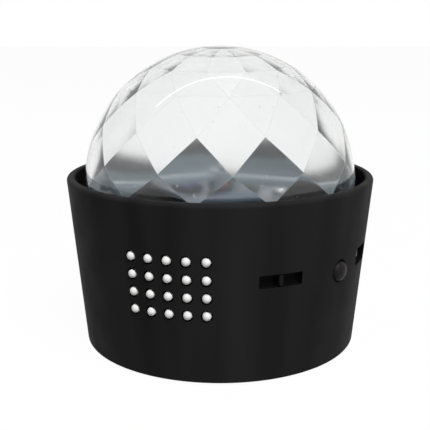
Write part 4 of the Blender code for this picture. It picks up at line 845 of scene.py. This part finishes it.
def facet_corners():
    """Rings of corners of the dome's hollow: radius, height over the dome's centre, and azimuth.

    They lie on the inner sphere, but the lowest and the third are drawn in a little, which makes the
    kites that stand on the two lowest rings flat.
    """
    step = 360.0 / FACETS_AROUND
    side_share = cos(radians(step / 2))
    angles = [radians(latitude) for latitude, turn in FACET_RINGS]
    radii = [DOME_INNER_RADIUS * cos(angle) for angle in angles]
    heights = [DOME_INNER_RADIUS * sin(angle) for angle in angles]
    azimuths = [FACET_AZIMUTH + step * turn for latitude, turn in FACET_RINGS]
    radii[2] = between(heights[2], (radii[1], heights[1]), (radii[3], heights[3])) / side_share
    radii[0] = between(heights[0], (radii[1] * side_share, heights[1]), (radii[2], heights[2]))
    return list(zip(radii, heights, azimuths))


def dome_cavity():
    """Hollow of the dome: the convex body over the rings of corners, with softened edges."""
    shape = bmesh.new()
    step = 360.0 / FACETS_AROUND
    rings = facet_corners()
    lowest_radius, _, lowest_azimuth = rings[0]
    rings.insert(0, (lowest_radius, DOME_BOTTOM - OVERRUN - DOME_CENTRE, lowest_azimuth))
    for radius, height, azimuth in rings:
        for i in range(FACETS_AROUND):
            shape.verts.new(around(radius, azimuth + step * i, DOME_CENTRE + height))
    bmesh.ops.convex_hull(shape, input=shape.verts)
    bmesh.ops.dissolve_limit(shape, angle_limit=FLAT_ANGLE, verts=shape.verts, edges=shape.edges)
    above = DOME_BOTTOM - OVERRUN / 2
    inner_edges = [edge for edge in shape.edges if min(corner.co.z for corner in edge.verts) > above]
    return rounded(shape, inner_edges, FACET_EDGE / 2, FACET_EDGE_STEPS)


def dome():
    """Clear dome, smooth outside and faceted inside; the facets have their own finish, and their rounded
    edges a less clear one that draws them as thin lines, a painted highlight.
    """
    start = asin((DOME_BOTTOM - DOME_CENTRE) / DOME_RADIUS)
    profile = arc(DOME_RADIUS, DOME_RADIUS, DOME_CENTRE, start, ROUND_SMALL)
    shell = carved(turned(profile, ROUND_LARGE), dome_cavity())
    look = clear_plastic("clear_dome", 0.012, 0.995).edged(DOME_EDGE_TINT)
    made = piece("clear_dome", shell, look, "dome", "dome_assembly", DOME_SHARP_ANGLE)
    made.data.materials.append(clear_plastic("clear_facets", 0.165, 0.995).specks(0.995, 0.4, 1.1).material)
    # Painted highlight: a less clear copy of the plastic on the facets' rounded edges draws them as thin
    # lines.
    made.data.materials.append(clear_plastic("painted_edge_highlight", 0.2, 0.9).material)
    centre = Vector((0.0, 0.0, DOME_CENTRE))
    for face in made.data.polygons:
        if face.normal.dot(face.center - centre) < 0.0:
            # Faces smaller than a facet are the rounded edges, which get the painted highlight.
            face.material_index = 1 if face.area > LEAST_FACET_AREA else 2
    true_normals(made, lambda place: (place - centre).normalized(),
                 lambda place: (place - centre).length >= DOME_RADIUS - SEAT, ALONG_SPHERE)


def dome_carrier():
    """Smoked ring under the dome's edge, with legs and spokes to the hub."""
    inner = CARRIER_RADIUS - CARRIER_RING_WIDTH
    across_corners = facet_corners()[0][0]
    spigot = across_corners * cos(pi / FACETS_AROUND) - SEAT
    ring = turned([
        (spigot, CARRIER_TOP + SPIGOT_HEIGHT, ROUNDING),
        (spigot, CARRIER_TOP),
        (CARRIER_RADIUS, CARRIER_TOP, ROUNDING),
        (CARRIER_RADIUS, CARRIER_BOTTOM, ROUNDING),
        (inner, CARRIER_BOTTOM, ROUNDING),
        (inner, CARRIER_TOP, ROUNDING),
        (spigot - SPIGOT_WALL, CARRIER_TOP),
        (spigot - SPIGOT_WALL, CARRIER_TOP + SPIGOT_HEIGHT, ROUNDING),
    ], ROUND_LARGE, closed=True)
    leg_outer = spigot - SPIGOT_WALL / 2
    leg = block(both(SPOKE_WIDTH / 2), (-leg_outer, SPOKE_THICKNESS - leg_outer),
                (CARRIER_BOTTOM + SEAT, SPOKE_TOP), ROUNDING)
    spoke = block(both(SPOKE_WIDTH / 2 - LIP), (-leg_outer + LIP, -HUB_RADIUS / 2),
                  (SPOKE_BOTTOM, SPOKE_TOP - LIP), ROUNDING)
    hub = tube(HUB_RADIUS, SHAFT_RADIUS + SEAT, SPOKE_TOP - HUB_DEPTH, SPOKE_TOP + SEAT, ROUNDING)
    turns = [facing(SPOKE_AZIMUTH + 360.0 / SPOKES * i, 0.0, 0.0) for i in range(SPOKES)]
    body = carved(ring, copies(leg, turns), copies(spoke, turns), hub, operation="UNION")
    look = clear_plastic("smoked_carrier", 0.4, 0.5, colour=(0.22, 0.28, 0.32))
    piece("carrier", body, look, "dome_carrier", "dome_assembly")


# Screws

def threaded_shank(radius, length):
    """Shank with ring-shaped crests, pointing up from zero."""
    root = radius - THREAD_DEPTH
    profile = [(0.0, length), (root, length)]
    for i in range(int(length / THREAD_PITCH), 0, -1):
        profile += [(radius, i * THREAD_PITCH - THREAD_PITCH / 2), (root, (i - 1) * THREAD_PITCH)]
    return turned(profile, ROUND_SMALL, capped=False)


def cross_screw(head_radius, head_height, shank_radius, length):
    """Pan-head screw with a crossed recess and a thread; the head's underside is at zero and it points up."""
    head = turned([(head_radius, 0.0), (head_radius, -head_height, head_height / 2)], ROUND_SMALL)
    arm = head_radius * CROSS_ARM_SHARE
    half = head_radius * CROSS_WIDTH_SHARE
    depth = (-head_height - OVERRUN, head_height * CROSS_DEPTH_SHARE - head_height)
    head = carved(head, block(both(arm), both(half), depth), block(both(half), both(arm), depth))
    return joined(head, threaded_shank(shank_radius, length))


def standard_screw():
    return cross_screw(SCREW_HEAD_RADIUS, SCREW_HEAD_HEIGHT, SCREW_SHANK_RADIUS, SCREW_LENGTH)


def small_screw():
    return cross_screw(SMALL_HEAD_RADIUS, SMALL_HEAD_HEIGHT, SMALL_SHANK_RADIUS, SMALL_LENGTH)


def downward(height):
    """Matrix that turns a screw over, with its head's seat at a height."""
    return Matrix.Translation((0.0, 0.0, height)) @ Matrix.Rotation(pi, 4, "X")


def shown_screws():
    """Screws that can be seen from outside or through the dome."""
    for number, place in enumerate(stands(LED_SCREW_CIRCLE, LED_SCREW_AZIMUTHS), start=1):
        screw = moved(small_screw(), place @ downward(LED_BOARD_TOP + SEAT))
        piece(f"led_screw_{number}", screw, ZINC, f"led_board_screw_{number}")
    screw = moved(standard_screw(), downward(SPOKE_TOP + 2 * SEAT))
    piece("hub_screw", screw, ZINC, "carrier_screw", "dome_assembly")
    seat = FOOT_STAND + COVER_SCREW_SUNK + SCREW_HEAD_HEIGHT
    for number, place in enumerate(stands(COVER_SCREW_CIRCLE, COVER_SCREW_AZIMUTHS, seat), start=1):
        piece(f"base_screw_{number}", moved(standard_screw(), place), ZINC, f"cover_screw_{number}")


# LED board

def led_board():
    hole = BUSH_FLANGE_RADIUS + SEAT
    board = tube(LED_BOARD_RADIUS, hole, LED_BOARD_BOTTOM, LED_BOARD_TOP, LIP, ROUND_LARGE)
    drill = rod(SMALL_SHANK_RADIUS + SEAT, LED_BOARD_BOTTOM - OVERRUN, LED_BOARD_TOP + OVERRUN)
    drills = copies(drill, stands(LED_SCREW_CIRCLE, LED_SCREW_AZIMUTHS))
    look = solder_mask("led_board", (0.052, 0.072, 0.096), (0.059, 0.081, 0.107))
    piece("lamp_board", carved(board, drills), look, "led_board")


def leds():
    """Three lamps, each a moulded base and a domed lens."""
    body = solder_mask("led_body", (0.02, 0.021, 0.023), (0.024, 0.025, 0.027))
    base = turned([
        (LED_LENS_RADIUS, LED_BASE_HEIGHT),
        (LED_BASE_RADIUS, LED_BASE_HEIGHT, ROUNDING),
        (LED_BASE_RADIUS, 0.0),
    ])
    top = turned(arc(LED_LENS_RADIUS, LED_LENS_HEIGHT, LED_BASE_HEIGHT, 0.0, ROUND_SMALL // 3))
    for number, (name, colour) in enumerate(LED_COLOURS.items()):
        place = facing(360.0 / len(LED_COLOURS) * number, LED_CIRCLE, LED_BOARD_TOP + SEAT)
        node = f"led_{name}"
        piece(f"lamp_base_{name}", moved(base.copy(), place), body, node)
        piece(f"lamp_lens_{name}", moved(top.copy(), place), lens(f"{name}_lens", colour), node)


def upper_bush():
    seat = DECK_TOP + SEAT
    bore = SHAFT_RADIUS + SEAT
    bush = turned([
        (BUSH_FLANGE_RADIUS, seat + BUSH_FLANGE_THICKNESS, ROUNDING),
        (BUSH_FLANGE_RADIUS, seat, LIP),
        (BUSH_RADIUS, seat),
        (BUSH_RADIUS, DECK_BOTTOM, LIP),
        (bore, DECK_BOTTOM, LIP),
        (bore, seat + BUSH_FLANGE_THICKNESS, LIP),
    ], closed=True)
    piece("deck_bush", bush, BRONZE, "upper_bush")


# Wall fittings

def curved_pad():
    """Foam pad that follows the wall's inside behind the sound holes."""
    half_height = (GRILLE_ROWS - 1) * GRILLE_ROW_PITCH / 2 + PAD_MARGIN
    half_width = (GRILLE_COLUMNS - 1) * GRILLE_COLUMN_PITCH / 2 + PAD_MARGIN
    half_arc = degrees(half_width / outer_radius(GRILLE_HEIGHT))
    low = GRILLE_HEIGHT - half_height
    high = GRILLE_HEIGHT + half_height
    back = SEAT + PAD_THICKNESS
    shape = bmesh.new()
    steps = ROUND_SMALL // 2
    rows = []
    for i in range(steps + 1):
        azimuth = GRILLE_AZIMUTH - half_arc + 2 * half_arc * i / steps
        rows.append([shape.verts.new(around(inner_radius(height) - depth, azimuth, height))
                     for depth, height in ((SEAT, high), (SEAT, low), (back, low), (back, high))])
    skin(shape, rows)
    shape.faces.new(rows[0])
    shape.faces.new(rows[-1])
    return mesh_of(shape)


def grille_pad():
    """Pad with a crowned pip in each sound hole."""
    root = -SIDE_WALL - SEAT - PAD_THICKNESS / 2
    top = crown(PIP_RADIUS, PIP_STAND, PIP_STAND + PIP_EDGE_DROP, ROUND_SMALL // 6)
    pip = turned(top + [(PIP_RADIUS, root)], ROUND_SMALL)
    pad = joined(curved_pad(), copies(pip, grille_places()))
    piece("sound_pad", pad, white_foam(), "grille_pad")


def slider():
    """Finger slider: a plate behind the slot, its ridge, and the fork round the switch's lever."""
    half_length, half_height = slider_half_sizes()
    plate = block(both(half_length), (-SLIDER_THICKNESS, 0.0), both(half_height), LIP)
    ridge = block(both(RIDGE_WIDTH / 2), (-SLIDER_THICKNESS - SLOT_RECESS, -SLIDER_THICKNESS / 2),
                  both(SLOT_HEIGHT / 2 - SEAT), ROUNDING)
    tines = [block(span, (-SLIDER_THICKNESS / 2, FORK_LENGTH), both(FORK_HEIGHT / 2), LIP)
             for span in ((-FORK_OUTER, -FORK_INNER), (FORK_INNER, FORK_OUTER))]
    place = facing(SLOT_AZIMUTH, slider_face() - SLIDER_THICKNESS, SLOT_MIDDLE)
    mesh = moved(joined(plate, ridge, *tines), place)
    piece("finger_slider", mesh, slider_plastic(), "switch_slider", "switch_knob")


def push_button():
    """Crowned cap with its flange inside the wall."""
    outside = outer_radius(BUTTON_MIDDLE)
    reach = inner_radius(BUTTON_MIDDLE - BUTTON_FLANGE_RADIUS)
    flange_face = sqrt(reach ** 2 - BUTTON_FLANGE_RADIUS ** 2) - SEAT - outside
    flange_back = flange_face - BUTTON_FLANGE_THICKNESS
    cap = turned(crown(BUTTON_RADIUS, BUTTON_STAND, BUTTON_CROWN, ROUND_SMALL // 4) + [
        (BUTTON_RADIUS, flange_face, LIP),
        (BUTTON_FLANGE_RADIUS, flange_face, LIP),
        (BUTTON_FLANGE_RADIUS, flange_back, LIP),
    ])
    mesh = moved(cap, outward(BUTTON_AZIMUTH, outside, BUTTON_MIDDLE))
    piece("button_cap_shown", mesh, button_plastic(), "push_button", "button_cap")


def usb_port():
    """Folded metal shell that reaches into the opening, with its foot on the board, tongue and contacts."""
    face = usb_wall() + USB_SHELL_REACH
    half_width = USB_SHELL_WIDTH / 2
    half_height = USB_SHELL_HEIGHT / 2
    shell = pillar(both(half_width), (-face, USB_SHELL_LENGTH - face), both(half_height), USB_SHELL_ROUNDING)
    inside = pillar(both(half_width - USB_SHELL_WALL), (-face - OVERRUN, USB_CAVITY_DEPTH - face),
                    both(half_height - USB_SHELL_WALL), USB_SHELL_ROUNDING - USB_SHELL_WALL)
    foot = block(both(half_width - USB_SHELL_WALL), (-BOARD_FRONT, USB_SHELL_LENGTH - OVERRUN - face),
                 (BOARD_TOP + SEAT - USB_MIDDLE, USB_SHELL_WALL / 2 - half_height))
    place = facing(USB_AZIMUTH, 0.0, USB_MIDDLE)
    shell = moved(joined(carved(shell, inside), foot), place)
    piece("socket_shell", shell, tinned_steel(), "usb_port")
    half_thickness = USB_TONGUE_THICKNESS / 2
    tongue = block(both(USB_TONGUE_WIDTH / 2), (USB_TONGUE_SETBACK - face, USB_CAVITY_DEPTH + OVERRUN - face),
                   both(half_thickness), LIP)
    piece("socket_tongue", moved(tongue, place), RESIN, "usb_port")
    pitch = USB_TONGUE_WIDTH / (USB_CONTACTS + 1)
    offsets = [pitch * (i - (USB_CONTACTS - 1) / 2) for i in range(USB_CONTACTS)]
    strip = block(both(USB_CONTACT_WIDTH / 2), (USB_TONGUE_SETBACK + SEAT - face, USB_CAVITY_DEPTH - face),
                  (-half_thickness - USB_CONTACT_THICKNESS, -half_thickness + USB_CONTACT_THICKNESS))
    strips = copies(strip, [place @ Matrix.Translation((offset, 0.0, 0.0)) for offset in offsets])
    piece("socket_contacts", strips, PLATED, "usb_port")


# Underside

def tongue_places():
    return [Matrix.Translation((0.0, offset, 0.0)) for offset in both(CELL_PITCH / 2)]


def notches():
    """Notches through the box wall that give the door's tongues room to swing."""
    notch = block((-BOX_HALF_LENGTH - BOX_WALL - NOTCH_GAP, -BOX_HALF_LENGTH + OVERRUN),
                  both(TONGUE_WIDTH / 2 + SEAT),
                  (COVER_TOP - NOTCH_DIP, FOOT_STAND + NOTCH_HEIGHT + NOTCH_GAP))
    return copies(notch, tongue_places())


def bottom_cover():
    """Round cover with the battery box, the groove of the rubber ring and the stepped screw holes."""
    cover = rod(COVER_RADIUS, FOOT_STAND, COVER_TOP, ROUNDING, ROUND_LARGE)
    walls = block(both(BOX_HALF_LENGTH + BOX_WALL), both(BOX_HALF_WIDTH + BOX_WALL),
                  (FOOT_STAND + SEAT, BOX_TOP), ROUNDING)
    inside = block(both(BOX_HALF_LENGTH), both(BOX_HALF_WIDTH), (FOOT_STAND - OVERRUN, BOX_CEILING), LIP)
    groove = tube(FOOT_RING_OUTER + SEAT, FOOT_RING_INNER - SEAT, FOOT_STAND - OVERRUN,
                  FOOT_RING_THICKNESS + SEAT, 0.0, ROUND_LARGE)
    shank = SCREW_SHANK_RADIUS + SEAT
    head = SCREW_HEAD_RADIUS + SEAT
    web = COVER_TOP - COVER_SCREW_WEB
    stepped = turned([
        (shank, COVER_TOP + OVERRUN),
        (shank, web),
        (head, web),
        (head, FOOT_STAND + LIP),
        (head + LIP + OVERRUN, FOOT_STAND - OVERRUN),
    ], ROUND_SMALL)
    holes = copies(stepped, stands(COVER_SCREW_CIRCLE, COVER_SCREW_AZIMUTHS))
    solid = carved(cover, walls, operation="UNION")
    solid = carved(solid, inside, groove, holes, notches())
    piece("base_plate", solid, COVER_BLACK, "bottom_cover")


def battery_door():
    """Door panel with its two tongues and the dished finger notch."""
    half_length = BOX_HALF_LENGTH - SEAT
    top = FOOT_STAND + DOOR_THICKNESS
    panel = block(both(half_length), both(BOX_HALF_WIDTH - SEAT), (FOOT_STAND, top), ROUNDING)
    dish = turned([
        (DISH_RADIUS - DISH_DEPTH, DISH_DEPTH, DISH_DEPTH / 2),
        (DISH_RADIUS, 0.0),
        (DISH_RADIUS, -OVERRUN),
    ])
    dish_middle = half_length - DISH_RADIUS - DISH_INSET
    panel = carved(panel, moved(dish, Matrix.Translation((dish_middle, 0.0, FOOT_STAND))))
    low = COVER_TOP + SEAT
    width = both(TONGUE_WIDTH / 2)
    riser = block((-half_length, TONGUE_ROOT - half_length), width, (top - SEAT, low + TONGUE_THICKNESS), LIP)
    hook = block((-half_length - TONGUE_REACH, TONGUE_ROOT / 2 - half_length), width,
                 (low, low + TONGUE_THICKNESS), LIP)
    door = joined(panel, copies(riser, tongue_places()), copies(hook, tongue_places()))
    piece("cell_door", door, COVER_BLACK, "battery_door", "door")


def foot_ring():
    ring = turned([
        (FOOT_RING_OUTER, FOOT_RING_THICKNESS),
        (FOOT_RING_OUTER, 0.0, FOOT_STAND / 2),
        (FOOT_RING_INNER, 0.0, FOOT_STAND / 2),
        (FOOT_RING_INNER, FOOT_RING_THICKNESS),
    ], ROUND_LARGE, closed=True)
    piece("foot_ring", ring, RUBBER, "rubber_foot_ring")


def cell_rows():
    """Number, direction along X and offset along Y of every cell; neighbours lie head to tail."""
    return [(i + 1, 1 - 2 * (i % 2), CELL_PITCH * (i - (CELLS - 1) / 2)) for i in range(CELLS)]


def cells():
    """Cells in plain sleeves that leave the metal ends bare."""
    body = CELL_LENGTH - CELL_NUB_HEIGHT
    can = turned([
        (CELL_NUB_RADIUS, CELL_LENGTH, ROUNDING),
        (CELL_NUB_RADIUS, body),
        (CELL_RADIUS - LIP, body, ROUNDING),
        (CELL_RADIUS - LIP, 0.0, ROUNDING),
    ])
    lap = CELL_RADIUS - 2 * ROUNDING
    sleeve = turned([
        (lap, body + LIP / 2),
        (CELL_RADIUS, body + LIP / 2, ROUNDING),
        (CELL_RADIUS, -LIP / 2, ROUNDING),
        (lap, -LIP / 2),
        (lap, 0.0),
        (lap, body),
    ], closed=True)
    wrap = cell_wrap()
    end = BOX_HALF_LENGTH - 2 * SEAT - CONTACT_THICKNESS
    for number, direction, offset in cell_rows():
        lay = Matrix.Rotation(radians(90.0 * direction), 4, "Y")
        place = Matrix.Translation((direction * (end - CELL_LENGTH), offset, CELL_HEIGHT)) @ lay
        node = f"battery_cell_{number}"
        piece(f"cell_can_{number}", moved(can.copy(), place), ZINC, node)
        piece(f"cell_sleeve_{number}", moved(sleeve.copy(), place), wrap, node)


def spring_mesh():
    """Conical coil that grows out of the plate at +X towards the cell."""
    start = BOX_HALF_LENGTH - SEAT - CONTACT_THICKNESS / 2
    end = start - CONTACT_THICKNESS / 2 - SPRING_LENGTH + SPRING_WIRE_RADIUS
    curve = bpy.data.curves.new("coil", "CURVE")
    curve.dimensions = "3D"
    curve.bevel_depth = SPRING_WIRE_RADIUS
    curve.bevel_resolution = WIRE_STEPS
    curve.use_fill_caps = True
    steps = SPRING_TURNS * ROUND_SMALL // 2
    spline = curve.splines.new("POLY")
    spline.points.add(steps)
    for i, point in enumerate(spline.points):
        share = i / steps
        radius = SPRING_LARGE_RADIUS + (SPRING_SMALL_RADIUS - SPRING_LARGE_RADIUS) * share
        angle = 2 * pi * SPRING_TURNS * share
        point.co = (start + (end - start) * share, radius * cos(angle), radius * sin(angle), 1.0)
    return worked_into_mesh(in_scene("coil", curve))


def contacts():
    """Plates at the cells' nubs, and plates with conical springs at their flat ends."""
    outer = BOX_HALF_LENGTH - SEAT
    plate = block((outer - CONTACT_THICKNESS, outer), both(CONTACT_WIDTH / 2), both(CONTACT_HEIGHT / 2), LIP)
    for number, direction, offset in cell_rows():
        place = Matrix.Translation((0.0, offset, CELL_HEIGHT))
        nub = place @ Matrix.Rotation(radians(90.0 - 90.0 * direction), 4, "Z")
        back = place @ Matrix.Rotation(radians(270.0 - 90.0 * direction), 4, "Z")
        piece(f"nub_contact_{number}", moved(plate.copy(), nub), PLATED, f"flat_contact_{number}")
        spring = moved(joined(plate.copy(), spring_mesh()), back)
        piece(f"spring_coil_{number}", spring, PLATED, f"spring_contact_{number}")


# Inner pieces that keep their own solids

def dress_inner_pieces():
    """Gives the finishes to the solids that are shown as they are."""
    green = solder_mask("green_board", (0.012, 0.095, 0.035), (0.018, 0.125, 0.045))
    looks = {
        nylon(): "gear_plate first_gear second_gear output_gear switch_lever tact_plunger",
        BRONZE: "thrust_bush motor_pinion",
        brushed_steel(): "motor slide_switch_body tact_switch microphone",
        ZINC: "motor_shaft first_axle second_axle output_shaft motor_screw_1 motor_screw_2 board_screw_1 "
              "board_screw_2 gear_plate_screw_1 gear_plate_screw_2 gear_plate_screw_3",
        green: "main_board",
        RESIN: "controller_chip",
        RUBBER: "microphone_boot",
        insulation(): "battery_lead motor_lead led_lead",
    }
    for look, names in looks.items():
        for name in names.split():
            materials = frame["nodes"][name].data.materials
            materials.clear()
            materials.append(look.material)


# Stage, light and camera

def seen_ray(tree):
    """One for the rays that should find the white background: camera, mirror and glass rays."""
    path = added(tree, "LightPath")
    total = path.outputs["Is Camera Ray"]
    for name in ("Is Glossy Ray", "Is Transmission Ray"):
        total = worked_out(tree, "MAXIMUM", total, path.outputs[name])
    return total


def floor_material():
    """White floor that keeps a part of the shadow, and that isn't there from below.

    It is greyer for the rays that carry its light to the object.
    """
    made = bpy.data.materials.new("white_floor")
    made.use_nodes = True
    tree = made.node_tree
    tree.nodes.clear()
    seen = seen_ray(tree)
    paint = added(tree, "BsdfDiffuse", Color=colour_mix(tree, FLOOR_GREY, FLOOR_WHITE, seen)).outputs[0]
    glow = added(tree, "Emission").outputs[0]
    glow_share = worked_out(tree, "MULTIPLY", seen, FLOOR_GLOW_SHARE)
    lit = added(tree, "MixShader", glow_share, paint, glow).outputs[0]
    clear = added(tree, "BsdfTransparent").outputs[0]
    from_below = added(tree, "NewGeometry").outputs["Backfacing"]
    sided = added(tree, "MixShader", from_below, lit, clear).outputs[0]
    added(tree, "OutputMaterial", Surface=sided)
    return made


def floor():
    shape = bmesh.new()
    bmesh.ops.create_grid(shape, size=FLOOR_HALF_SIZE)
    mesh = mesh_of(shape)
    mesh.materials.append(floor_material())
    in_scene("floor", mesh)


def world():
    """White background for what is seen, and a softer even light for the rest."""
    made = bpy.data.worlds.new("studio")
    bpy.context.scene.world = made
    made.use_nodes = True
    tree = made.node_tree
    strength = added(tree, "MapRange", Value=seen_ray(tree), To_Min=AMBIENT, To_Max=1.0).outputs["Result"]
    plugged(tree, tree.nodes["Background"], Color=(1.0, 1.0, 1.0, 1.0), Strength=strength)


def area_light(name, place, size, power):
    """Rectangular lamp, turned to the dome's middle."""
    light = bpy.data.lights.new(name, "AREA")
    light.shape = "RECTANGLE"
    light.size, light.size_y = size
    light.energy = power
    made = in_scene(name, light)
    made.location = place
    aim = Vector((0.0, 0.0, DOME_CENTRE)) - Vector(place)
    made.rotation_euler = aim.to_track_quat("-Z", "Y").to_euler()
    return made


def lights():
    """Key from above the camera, a fill at each side, and a strip whose mirror image is the arc on the dome.

    The key passes through the dome without lighting it, and the fills are neither mirrored nor seen
    through it, as they would show there as bright patches.
    """
    key = area_light("key", *KEY_LAMP)
    for name, lamp in FILL_LAMPS.items():
        fill = area_light(name, *lamp)
        fill.visible_glossy = False
        fill.visible_transmission = False
    area_light("strip", *STRIP_LAMP)
    spared = bpy.data.collections.new("not_lit_by_key")
    spared.objects.link(bpy.data.objects["clear_dome"])
    spared.collection_objects[0].light_linking.link_state = "EXCLUDE"
    key.light_linking.receiver_collection = spared
    key.light_linking.blocker_collection = spared


def camera():
    data = bpy.data.cameras.new("camera")
    data.lens = CAMERA_LENS
    data.shift_x, data.shift_y = CAMERA_SHIFT
    made = in_scene("camera", data)
    made.location = CAMERA_PLACE
    made.rotation_euler = (radians(90.0 - CAMERA_PITCH), 0.0, 0.0)
    bpy.context.scene.camera = made


housing()
dome()
dome_carrier()
shown_screws()
led_board()
leds()
upper_bush()
grille_pad()
slider()
push_button()
usb_port()
bottom_cover()
battery_door()
foot_ring()
cells()
contacts()
dress_inner_pieces()
floor()
world()
lights()
camera()
bpy.context.scene.view_settings.view_transform = "Standard"
